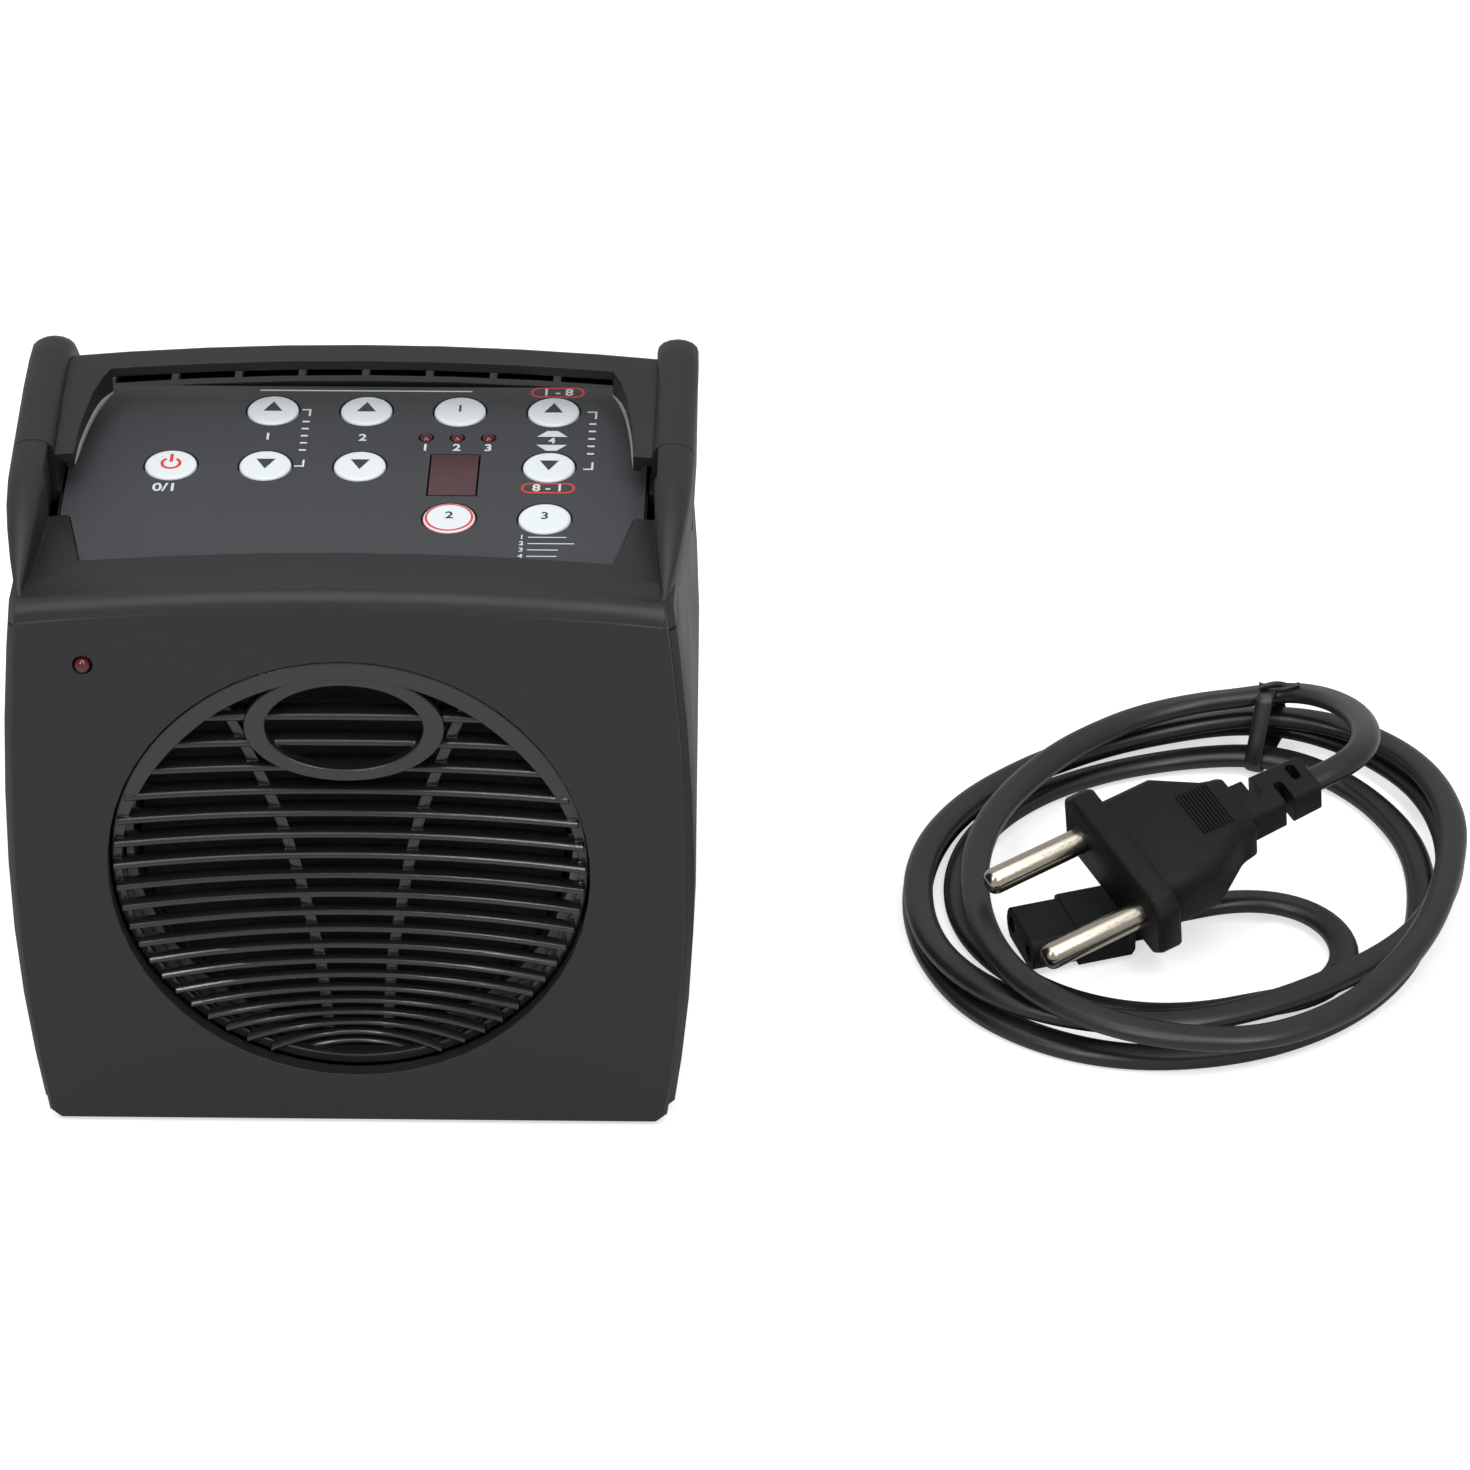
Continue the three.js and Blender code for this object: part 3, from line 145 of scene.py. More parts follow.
# moulded or matt surfaces: a fine grain in the bump, a broad drift in colour and gloss, polished edges
def grainedPlastic(name, colours, grain, relief, rough, shader=None, edge=0.35, drift=14):
    made, tree, surface, place = newMaterial(name, shader)
    broad = addNode(tree, "ShaderNodeTexNoise", None,
                    {"Vector": place, "Scale": perMm(drift), "Detail": 4.0}).outputs[0]
    fine = addNode(tree, "ShaderNodeTexNoise", None,
                   {"Vector": place, "Scale": perMm(grain), "Detail": 2.0, "Roughness": 0.6})
    gloss = toneAndGloss(tree, surface, colours, rough, broad, broad, noiseReach)
    softer = addNode(tree, "ShaderNodeBevel", {"samples": 4}, {"Radius": edge * mm}).outputs[0]
    flat = addNode(tree, "ShaderNodeNewGeometry").outputs["Normal"]
    turned = addNode(tree, "ShaderNodeVectorMath", {"operation": "DOT_PRODUCT"}, {0: softer, 1: flat})
    worn = addNode(tree, "ShaderNodeMapRange", None,
                   {"Value": turned.outputs["Value"], "From Min": wornAngle[0], "From Max": wornAngle[1],
                    "To Min": 0.0, "To Max": wornGloss})
    polished = addNode(tree, "ShaderNodeMath", {"operation": "SUBTRACT"}, {0: gloss, 1: worn.outputs[0]})
    tree.links.new(polished.outputs[0], surface.inputs["Roughness"])
    bump = addNode(tree, "ShaderNodeBump", None,
                   {"Strength": 1.0, "Distance": relief * mm, "Height": fine.outputs[0], "Normal": softer})
    tree.links.new(bump.outputs[0], surface.inputs["Normal"])
    return made


# plated or turned metal: a fine unevenness in gloss and relief, a cloud of two tones
def unevenMetal(name, colours, rough, relief=0.002):
    made, tree, surface, place = newMaterial(name, {"Metallic": 1.0})
    fine = addNode(tree, "ShaderNodeTexNoise", None, {"Vector": place, "Scale": perMm(0.6), "Detail": 4.0}).outputs[0]
    cloud = addNode(tree, "ShaderNodeTexNoise", None, {"Vector": place, "Scale": perMm(4), "Detail": 3.0}).outputs[0]
    toneAndGloss(tree, surface, colours, rough, cloud, fine, noiseReach)
    bump = addNode(tree, "ShaderNodeBump", None, {"Distance": relief * mm, "Height": fine})
    tree.links.new(bump.outputs[0], surface.inputs["Normal"])
    return made


# coloured clear plastics, drawn as an opaque body under a thin gloss
def tintedPlastic(name, colours, rough, coat):
    made, tree, surface, place = newMaterial(name, {"IOR": 1.49, "Coat Weight": coat, "Coat Roughness": 0.08})
    cloud = addNode(tree, "ShaderNodeTexNoise", None, {"Vector": place, "Scale": perMm(2.2), "Detail": 2.0})
    toneAndGloss(tree, surface, colours, rough, cloud.outputs[0], cloud.outputs[0])
    return made


# sheets stacked face to face, such as a transformer's iron core or laminated board seen at its edge
def stackedSheets(name, colours, pitch, rough, shader=None):
    made, tree, surface, place = newMaterial(name, shader)
    bands = addNode(tree, "ShaderNodeTexWave", {"bands_direction": "X"},
                    {"Vector": place, "Scale": perMm(pitch) / 10, "Distortion": 0.3, "Detail": 2.0})
    toneAndGloss(tree, surface, colours, rough, bands.outputs["Fac"], bands.outputs["Fac"])
    return made


# spark-eroded ABS: dull charcoal, a grain finer than a pinhead, edges rubbed a little smoother
housingAbs = grainedPlastic("moulded ABS, spark-eroded", ("#121416", "#18191b"), 0.45, 0.022, (0.48, 0.56))
# the grille's ABS comes from a polished mould, so it shines more than the shells
grilleAbs = grainedPlastic("moulded ABS, polished", ("#15171a", "#1a1c1f"), 0.9, 0.004, (0.17, 0.24),
                          {"Specular IOR Level": 0.7}, edge=0.25)
# screen-printed polyester film over the deck: even, slightly velvety
panelFilm = grainedPlastic("polyester film, screen-printed", ("#393b3e", "#3e4043"), 0.3, 0.006, (0.5, 0.58),
                           {"Specular IOR Level": 0.3}, edge=0.1)
# key caps: opaque white silicone rubber with a satin skin
keySilicone = grainedPlastic("silicone rubber, white satin", ("#d3dbdd", "#dce2e4"), 0.5, 0.005, (0.38, 0.46),
                             edge=0.2)
# flexible PVC sheath: soft black, shine drifts along the cord where it was drawn and handled
sheathPvc = grainedPlastic("PVC sheath, extruded", ("#101213", "#17191a"), 1.1, 0.012, (0.3, 0.42), drift=9)
# plug mouldings: harder PVC with a matt eroded skin
plugPvc = grainedPlastic("PVC, injection moulded", ("#0d0f10", "#131516"), 0.4, 0.02, (0.52, 0.62),
                         {"Specular IOR Level": 0.2})
# feet and the tie's coat: black rubber that scatters light, and a smoother thin sheath
footRubber = grainedPlastic("nitrile rubber, pressed", ("#111213", "#191a1b"), 0.8, 0.02, (0.7, 0.82))
tiePvc = grainedPlastic("PVC-coated wire", ("#121315", "#191b1d"), 0.7, 0.01, (0.3, 0.42), edge=0.1)
# the loudspeaker's cone: felted paper, dull and fibrous, dyed black
conePaper = grainedPlastic("paper pulp, felted and dyed", ("#131313", "#1f1e1d"), 0.6, 0.05, (0.85, 0.95),
                           edge=0.1, drift=5)
# sintered magnet: near-black ceramic, slightly grainy
ferrite = grainedPlastic("ferrite, sintered", ("#2b2a2b", "#373638"), 0.7, 0.03, (0.5, 0.7), edge=0.3, drift=6)
# glass-cloth laminate under green solder mask: glossy and slightly uneven
laminate = grainedPlastic("epoxy laminate, solder mask", ("#12442b", "#1b5738"), 0.8, 0.01, (0.22, 0.34),
                          edge=0.1, drift=7)
# silicon-steel sheets, varnished and stacked: bands a millimetre apart, twice the real pitch, so that they show
coreSteel = stackedSheets("silicon steel, laminated", ("#4b4643", "#6b6560"), 1.0, (0.45, 0.6), {"Metallic": 0.8})
# plated and turned metals: bright pins, yellow sockets, greyer screws and basket
pinNickel = unevenMetal("brass, nickel-plated", ("#a59e90", "#b9b3a6"), (0.16, 0.24), 0.0004)
socketBrass = unevenMetal("brass, turned", ("#a9803f", "#c79b55"), (0.25, 0.4))
zincSteel = unevenMetal("steel, zinc-plated", ("#8f9498", "#b0b4b7"), (0.3, 0.5))
# printed inks: a thin even skin, duller than what it lies on
inkDark = grainedPlastic("pad-printing ink, graphite", ("#2f3134", "#393b3e"), 0.3, 0.003, (0.5, 0.6), edge=0.02)
inkWhite = grainedPlastic("screen ink, white", ("#c3c8ca", "#d0d5d6"), 0.3, 0.003, (0.5, 0.6), edge=0.02)
inkRed = grainedPlastic("screen ink, red", ("#c4322c", "#d23d35"), 0.3, 0.003, (0.5, 0.6), edge=0.02)
# dark red film over the display: even and half dull, so that only a dim red shows
displayFilter = tintedPlastic("polyester film, dark red", ("#44292f", "#4c3036"), (0.3, 0.42), 0.1)
lampEpoxy = tintedPlastic("epoxy resin, red", ("#3d070e", "#5a0c16"), (0.08, 0.14), 0.3)
# the strips at the window's curved sides: pale grey as a painted highlight, and smoother than the shell beside it
paintedHighlightAbs = grainedPlastic("moulded ABS, painted highlight", ("#7f807c", "#969792"), 0.7, 0.004, (0.24, 0.34),
                         edge=0.1, drift=6)
print("materials mixed")


# a piece of the object: its mesh's one material, its body, its slot and the nodes it stands for
def addPiece(name, mesh, body, material, replaced=()):
    piece = newObject(name, mesh)
    mesh.materials.clear()
    mesh.materials.append(material)
    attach(piece, body)
    if replaced:
        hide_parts(*replaced)
    return piece


def around(steps):  # the angles of even steps round a circle
    return [2 * math.pi * k / steps for k in range(steps)]


def shadeByAngle(mesh, degrees):
    mesh.shade_smooth()
    mesh.set_sharp_from_angle(angle=math.radians(degrees))
    return mesh


def meshFrom(bm, name, smoothAngle=40):
    mesh = bpy.data.meshes.new(name)
    bm.to_mesh(mesh)
    bm.free()
    return shadeByAngle(mesh, smoothAngle)


# a closed skin over rings of points, with flat ends
def skinInto(bm, rings):
    rows = [[bm.verts.new(p) for p in ring] for ring in rings]
    count = len(rings[0])
    made = []
    for a, b in zip(rows, rows[1:]):
        for i in range(count):
            j = (i + 1) % count
            made.append(bm.faces.new((a[i], a[j], b[j], b[i])))
    made.append(bm.faces.new(list(reversed(rows[0]))))
    made.append(bm.faces.new(rows[-1]))
    bmesh.ops.recalc_face_normals(bm, faces=made)


# turns a closed [radius, height] outline about z; points on the axis close the poles
def turnInto(bm, outline, segments, flatten=1.0, place=(0, 0)):
    rows = [[bm.verts.new((place[0] + r * math.cos(a), place[1] + flatten * r * math.sin(a), z)) for r, z in outline]
            for a in around(segments)]
    made = []
    for a, b in zip(rows, rows[1:] + rows[:1]):
        for i in range(len(outline)):
            j = (i + 1) % len(outline)
            if outline[i][0] or outline[j][0]:
                made.append(bm.faces.new((a[i], b[i], b[j], a[j])))
    bmesh.ops.remove_doubles(bm, verts=[v for row in rows for v in row], dist=1e-5)
    bmesh.ops.recalc_face_normals(bm, faces=[f for f in made if f.is_valid])


# a closed outline with its corners rounded
def roundedOutline(points, radius, steps=3):
    turned = []
    for i, point in enumerate(points):
        here = Vector(point)
        before, after = Vector(points[i - 1]) - here, Vector(points[(i + 1) % len(points)]) - here
        reach = min(radius, before.length * 0.45, after.length * 0.45)
        if here.x == 0:
            turned.append(tuple(here))  # a point on the axis of a turned piece stays
            continue
        start, end = here + before.normalized() * reach, here + after.normalized() * reach
        for k in range(steps + 1):
            t = k / steps
            turned.append(tuple(start * (1 - t) ** 2 + here * (2 * t * (1 - t)) + end * (t * t)))
    return turned


# frames of the leaning face and of the control panel, in mm and degrees
body = {"front": -43, "foot": 1, "faceLean": 4.1, "panelStart": 21.5, "panelLevel": 92.9, "panelTilt": 1}
panelTilt = math.radians(body["panelTilt"])
unitFrame = Matrix.Translation((0, body["front"], body["foot"]))
faceFrame = unitFrame @ Matrix.Rotation(math.radians(90 - body["faceLean"]), 4, "X")
panelFrame = (unitFrame @ Matrix.Translation((0, body["panelStart"], body["panelLevel"]))
              @ Matrix.Rotation(panelTilt, 4, "X"))


def alongPanel(y):  # from a distance behind the front to one on the tilted panel
    return (y - body["panelStart"]) / math.cos(panelTilt)


# moves a mesh drawn in mm in a frame of its own to its place in metres
def settle(mesh, matrix):
    mesh.transform(Matrix.Scale(mm, 4) @ matrix)
    return mesh


def placePiece(name, bm, smoothAngle, matrix, body, material, replaced=()):
    return addPiece(name, settle(meshFrom(bm, name, smoothAngle), matrix), body, material, replaced)


def joinInto(bm, part):
    mesh = bpy.data.meshes.new("part")
    part.to_mesh(mesh)
    part.free()
    bm.from_mesh(mesh)


# the mains lead: the CAD coil's route, its right-hand loops drawn in a little so that they stay in the frame
lead = {
    "width": 5.0,
    "height": 3.2,
    "plugBase": (122.65, 6.5, 15.3),
    "plugPin": (-0.863, -0.472, -0.176),
    "plugAcross": (0.5, -0.842, -0.19),
    "plugLength": 38.6,
    "connectorFace": (107.6, 4.6, 3.7),
    "connectorTurn": 19.1,
    "connectorTail": 27.3,
    "centre": (135.5, 22.8),
    "start": 317,
    "tieAngle": 70,
    "tieLift": 1.3,
    "lowLayer": 1.75,
    "layerStep": 3.88,
    "straight": 5.0,
    "fit": 0.3,
    "tailReach": (26, 20),
    "plugReach": (13, 14),
    "coilFrom": 30,
    "coilTo": 1320,
    "length": 1.097,
    "sides": 28, "spacing": 1.6, "smoothing": 4,
    "roll": 0.17,  # how far the flat cord rocks about itself, in radians
    "waist": 0.07,  # depth of the hollow between the two cores, as a share of the height
}
# degrees wound, radius, layer
stations = [
    (0, 33.4, 0), (30, 35.4, 0), (60, 37.2, 0), (93, 38.5, 0), (120, 38.7, 0), (157, 37.6, 0), (200, 35.8, 0),
    (236, 38, 0), (262, 41.2, 0), (290, 40.8, 0), (322, 40, 0), (346, 41.7, 0), (375, 44.4, 0), (400, 47.2, 0),
    (425, 49.6, 0), (450, 49.8, 0), (468, 48, 0), (490, 45.6, 0), (520, 43.6, 0), (557, 42.4, 0), (580, 44.6, 0),
    (600, 48, 0.04), (620, 49.8, 0.24), (640, 48.9, 0.5), (660, 46.5, 0.72), (680, 44.2, 0.92), (702, 42, 1),
    (729, 39.8, 1), (752, 41, 1), (770, 43.8, 1), (788, 46, 1), (807, 48.2, 1), (825, 48.2, 1), (845, 46, 1),
    (864, 43.6, 1), (883, 41, 1), (902, 39, 1), (928, 39.2, 1), (950, 42, 1.02), (968, 46, 1.1), (984, 49, 1.3),
    (1000, 49.2, 1.52), (1020, 46.9, 1.76), (1040, 44.5, 1.96), (1057, 44.4, 2), (1080, 47.2, 2), (1098, 51.5, 2),
    (1116, 54, 2), (1134, 52.4, 2), (1150, 49.6, 2), (1163, 46.8, 2), (1175, 43.4, 2), (1188, 39.8, 2),
    (1205, 36.4, 2), (1230, 33.8, 2), (1256, 33.4, 2), (1282, 36.4, 2.02), (1300, 40.2, 2.08), (1325, 44.3, 2.22),
    (1350, 45.2, 2.5),
]


def smoothStation(wound, column):
    i = max(1, next(k for k, row in enumerate(stations) if row[0] >= wound))
    a, b = stations[i - 1], stations[i]
    before, after = stations[max(i - 2, 0)], stations[min(i + 1, len(stations) - 1)]
    span = b[0] - a[0]
    t = (wound - a[0]) / span
    slopeA = (b[column] - before[column]) / max(b[0] - before[0], 1) * span
    slopeB = (after[column] - a[column]) / max(after[0] - a[0], 1) * span
    return ((1 + 2 * t) * (1 - t) ** 2 * a[column] + t * (1 - t) ** 2 * slopeA
            + t * t * (3 - 2 * t) * b[column] + t * t * (t - 1) * slopeB)


def coilPoint(wound):
    angle = math.radians(lead["start"] - wound)
    radius = smoothStation(wound, 1)
    away = (angle - math.radians(lead["tieAngle"]) + math.pi) % (2 * math.pi) - math.pi
    lift = lead["tieLift"] * math.exp(-((away / 0.3) ** 2))
    x, y = lead["centre"]
    return Vector((x + radius * math.cos(angle), y + radius * math.sin(angle),
                   lead["lowLayer"] + lead["layerStep"] * smoothStation(wound, 2) + lift))


def bridgeRun(start, startWay, end, endWay, reach, steps):
    points = (start, start + startWay.normalized() * reach[0], end - endWay.normalized() * reach[1], end)
    run = []
    for k in range(steps + 1):
        t = k / steps
        weights = ((1 - t) ** 3, 3 * t * (1 - t) ** 2, 3 * t * t * (1 - t), t ** 3)
        run.append(sum((p * w for p, w in zip(points, weights)), Vector()))
    return run


plugPin = Vector(lead["plugPin"]).normalized()
plugAcross = Vector(lead["plugAcross"])
plugAcross = (plugAcross - plugPin * plugAcross.dot(plugPin)).normalized()
plugUp = plugPin.cross(plugAcross)
plugUp = plugUp if plugUp.z > 0 else -plugUp
plugSide = plugUp.cross(plugPin)
plugFrame = Matrix.Translation(Vector(lead["plugBase"])) @ Matrix((plugPin, plugSide, plugUp)).transposed().to_4x4()
connectorFrame = (Matrix.Translation(Vector(lead["connectorFace"]))
                  @ Matrix.Rotation(math.radians(lead["connectorTurn"]), 4, "Z"))


def cordPath():
    fit, straight = lead["fit"], lead["straight"]
    tailWay = connectorFrame.to_3x3() @ Vector((1, 0, 0))
    tailEnd = connectorFrame @ Vector((lead["connectorTail"], 0, -0.5))
    plugEnd = plugFrame @ Vector((-lead["plugLength"] - fit, 0, 0))
    coil = [coilPoint(w) for w in range(lead["coilFrom"], lead["coilTo"] + 1, 3)]
    lowWay = (coilPoint(lead["coilFrom"]) - coilPoint(lead["coilFrom"] + 15)).normalized()
    highWay = (coilPoint(lead["coilTo"]) - coilPoint(lead["coilTo"] - 15)).normalized()
    lowTurn, highTurn = coil[0] + lowWay * (fit + straight), coil[-1] + highWay * (fit + straight)
    first = bridgeRun(tailEnd + tailWay * straight, tailWay, lowTurn, -lowWay, lead["tailReach"], 24)
    last = bridgeRun(highTurn, highWay, plugEnd - plugPin * straight, plugPin, lead["plugReach"], 20)
    return [tailEnd - tailWay * 1.5, tailEnd, *first, *coil, *last, plugEnd, plugEnd + plugPin * 1.5]


# even spacing, so that the jacket's rings don't bunch where runs meet
def resampled(points, step):
    gathered = [points[0]]
    rest = 0
    for a, b in zip(points, points[1:]):
        run = (b - a).length
        at = step - rest
        while at < run:
            gathered.append(a.lerp(b, at / run))
            at += step
        rest = (rest + run) % step if run + rest >= step else rest + run
    return gathered + [points[-1]]


def softened(points, rounds):
    for _ in range(rounds):
        inner = [(a + b * 2 + c) / 4 for a, b, c in zip(points, points[1:], points[2:])]
        points = [points[0], *inner, points[-1]]
    return points


def makeCord():
    path = softened(resampled(cordPath(), lead["spacing"]), lead["smoothing"])
    rings = []
    for i, p in enumerate(path):
        along = (path[min(i + 1, len(path) - 1)] - path[max(i - 1, 0)]).normalized()
        across = Vector((along.y, -along.x, 0)).normalized()
        up = across.cross(along)
        run = i * lead["spacing"]
        ends = min(1, i / 12, (len(path) - 1 - i) / 12)  # it lies straight where the mouldings hold it
        roll = ends * lead["roll"] * (math.sin(run / 23) + 0.6 * math.sin(run / 9.1 + 1))
        ring = []
        for a in around(lead["sides"]):
            c, s = math.cos(a), math.sin(a)
            wide = lead["width"] / 2 * math.copysign(abs(c) ** 0.86, c)
            waist = 1 - lead["waist"] * math.exp(-((c / 0.3) ** 2))
            high = lead["height"] / 2 * math.copysign(abs(s) ** 0.9, s) * waist
            w = wide * math.cos(roll) - high * math.sin(roll)
            h = wide * math.sin(roll) + high * math.cos(roll)
            ring.append((p + across * w + up * h) * mm)
        rings.append(ring)
    bm = bmesh.new()
    skinInto(bm, rings)
    cord = addPiece("mains_cord", meshFrom(bm, "mains_cord", 60), housing, sheathPvc,
                    ("appliance_tail", "lead_coil", "plug_tail"))
    return cord, path


cord, path = makeCord()
print("cord wound")


# a Geometry Nodes tree with named inputs, and those inputs by name
def newTree(name, inputs):
    tree = bpy.data.node_groups.new(name, "GeometryNodeTree")
    tree.interface.new_socket("Geometry", in_out="OUTPUT", socket_type="NodeSocketGeometry")
    tree.interface.new_socket("Geometry", in_out="INPUT", socket_type="NodeSocketGeometry")
    for label, kind in inputs.items():
        tree.interface.new_socket(label, in_out="INPUT", socket_type="NodeSocket" + kind)
    return tree, {s.name: s for s in tree.nodes.new("NodeGroupInput").outputs if s.name}


# every tree ends in real geometry with one material
def closeTree(tree, geometry, material):
    real = addNode(tree, "GeometryNodeRealizeInstances", None, {"Geometry": geometry})
    done = addNode(tree, "GeometryNodeSetMaterial", None, {"Geometry": real.outputs[0], "Material": material})
    addNode(tree, "NodeGroupOutput", None, {0: done.outputs[0]})
    return tree


# a closed bar along a curve, its section a rectangle with rounded corners
def roundedBar(tree, line, width, height, rounding):
    square = addNode(tree, "GeometryNodeCurvePrimitiveQuadrilateral", None, {"Width": width, "Height": height})
    soft = addNode(tree, "GeometryNodeFilletCurve", {"mode": "POLY"},
                   {"Curve": square.outputs[0], "Count": 3, "Radius": rounding})
    return addNode(tree, "GeometryNodeCurveToMesh", None,
                   {"Curve": line, "Profile Curve": soft.outputs[0], "Fill Caps": True}).outputs[0]


# runs a tree on a few points and keeps the result as a plain mesh
def grown(name, points, tree, values, smoothAngle=35):
    mesh = bpy.data.meshes.new(name)
    mesh.from_pydata(points, [], [])
    holder = newObject(name, mesh)
    modifier = holder.modifiers.new(name, "NODES")
    modifier.node_group = tree
    for item in tree.interface.items_tree:
        if item.in_out == "INPUT" and item.name in values:
            modifier[item.identifier] = values[item.name]
    made = frozen(holder)
    bm = bmesh.new()
    bm.from_mesh(made)
    bmesh.ops.remove_doubles(bm, verts=bm.verts, dist=1e-4)
    bmesh.ops.recalc_face_normals(bm, faces=bm.faces)
    bm.to_mesh(made)
    bm.free()
    made.name = name
    return shadeByAngle(made, smoothAngle)


# a round stud on every point: a head with a rounded rim and a crown, a collar or shank under it,
# and a cross recess where one is asked for. Key caps, screws and feet are all such studs.
def studTree():
    tree, known = newTree("stud", {
        "Radius": "Float", "Top": "Float", "Bottom": "Float", "Edge": "Float", "Crown": "Float",
        "Collar Radius": "Float", "Collar Top": "Float", "Collar Bottom": "Float",
        "Recess": "Float", "Recess Depth": "Float", "Turn": "Rotation", "Material": "Material"})
    disc = addNode(tree, "GeometryNodeMeshCylinder", {"fill_type": "TRIANGLE_FAN"},
                   {"Vertices": 48, "Side Segments": 1, "Fill Segments": 10, "Radius": 1.0, "Depth": 2.0})
    place = addNode(tree, "GeometryNodeInputPosition").outputs[0]
    axes = addNode(tree, "ShaderNodeSeparateXYZ", None, {0: place})
    known.update(x=axes.outputs[0], y=axes.outputs[1], z=axes.outputs[2])
    steps = [
        ("xx", "MULTIPLY", "x", "x"), ("rr", "MULTIPLY_ADD", "y", "y", "xx"), ("r", "SQRT", "rr"),
        # rings crowd towards the rim, where the rounding is
        ("crowd", "SUBTRACT", 2.0, "r"), ("spread", "MULTIPLY", "crowd", "Radius"),
        ("wide", "MULTIPLY", "r", "spread"), ("inside", "SUBTRACT", "wide", "Radius"),
        ("share", "DIVIDE", "inside", "Edge"), ("low", "ADD", "share", 1.0), ("along", "MAXIMUM", "low", 0.0),
        ("square", "MULTIPLY", "along", "along"), ("left", "SUBTRACT", 1.0001, "square"), ("arc", "SQRT", "left"),
        ("drop", "SUBTRACT", 1.0, "arc"), ("fall", "MULTIPLY", "drop", "Edge"),
        ("bulge", "SUBTRACT", 1.0, "rr"), ("rise", "MULTIPLY", "bulge", "Crown"),
        ("head", "SUBTRACT", "Top", "fall"), ("crowned", "ADD", "head", "rise"),
        ("upper", "GREATER_THAN", "z", 0.0), ("span", "SUBTRACT", "crowned", "Bottom"),
        ("level", "MULTIPLY_ADD", "upper", "span", "Bottom"),
        ("newX", "MULTIPLY", "x", "spread"), ("newY", "MULTIPLY", "y", "spread"),
        ("collarHigh", "SUBTRACT", "Collar Top", "Collar Bottom"),
        ("collarSum", "ADD", "Collar Top", "Collar Bottom"), ("collarMiddle", "MULTIPLY", "collarSum", 0.5),
        # the cross recess: two blocks, far taller than it is deep
        ("floor", "SUBTRACT", "Top", "Recess Depth"), ("long", "MULTIPLY", "Recess", 4.6),
        ("tall", "MULTIPLY", "Recess Depth", 4.0), ("halfTall", "MULTIPLY", "tall", 0.5),
        ("cutLevel", "ADD", "floor", "halfTall"), ("crossed", "GREATER_THAN", "Recess", 0.0),
    ]
    for name, operation, *terms in steps:
        made = addNode(tree, "ShaderNodeMath", {"operation": operation},
                       {i: known[t] if isinstance(t, str) else t for i, t in enumerate(terms)})
        known[name] = made.outputs[0]
    spot = addNode(tree, "ShaderNodeCombineXYZ", None, {0: known["newX"], 1: known["newY"], 2: known["level"]})
    head = addNode(tree, "GeometryNodeSetPosition", None,
                   {"Geometry": disc.outputs["Mesh"], "Position": spot.outputs[0]})
    collar = addNode(tree, "GeometryNodeMeshCylinder", {"fill_type": "TRIANGLE_FAN"},
                     {"Vertices": 32, "Radius": known["Collar Radius"], "Depth": known["collarHigh"]})
    collarPlace = addNode(tree, "ShaderNodeCombineXYZ", None, {2: known["collarMiddle"]})
    lowered = addNode(tree, "GeometryNodeTransform", None,
                      {"Geometry": collar.outputs["Mesh"], "Translation": collarPlace.outputs[0]})
    armPlace = addNode(tree, "ShaderNodeCombineXYZ", None, {2: known["cutLevel"]})
    arms = []
    for first, second in (("long", "Recess"), ("Recess", "long")):
        size = addNode(tree, "ShaderNodeCombineXYZ", None, {0: known[first], 1: known[second], 2: known["tall"]})
        cube = addNode(tree, "GeometryNodeMeshCube", None, {"Size": size.outputs[0]})
        arms.append(addNode(tree, "GeometryNodeTransform", None,
                            {"Geometry": cube.outputs["Mesh"], "Translation": armPlace.outputs[0]}))
    crossCut = addNode(tree, "GeometryNodeMeshBoolean", {"operation": "DIFFERENCE"}, {"Mesh 1": head.outputs[0]})
    for arm in arms:
        tree.links.new(arm.outputs[0], crossCut.inputs["Mesh 2"])
    chosen = addNode(tree, "GeometryNodeSwitch", {"input_type": "GEOMETRY"},
                     {"Switch": known["crossed"], "False": head.outputs[0], "True": crossCut.outputs["Mesh"]})
    whole = addNode(tree, "GeometryNodeJoinGeometry")
    tree.links.new(chosen.outputs[0], whole.inputs[0])
    tree.links.new(lowered.outputs[0], whole.inputs[0])
    spread = addNode(tree, "GeometryNodeInstanceOnPoints", None,
                     {"Points": known["Geometry"], "Instance": whole.outputs[0], "Rotation": known["Turn"]})
    return closeTree(tree, spread.outputs[0], known["Material"])


# the dish deepens with the sine of the drop, raised to a power
bowl = {"turn": 0.97389, "swell": 1.4}


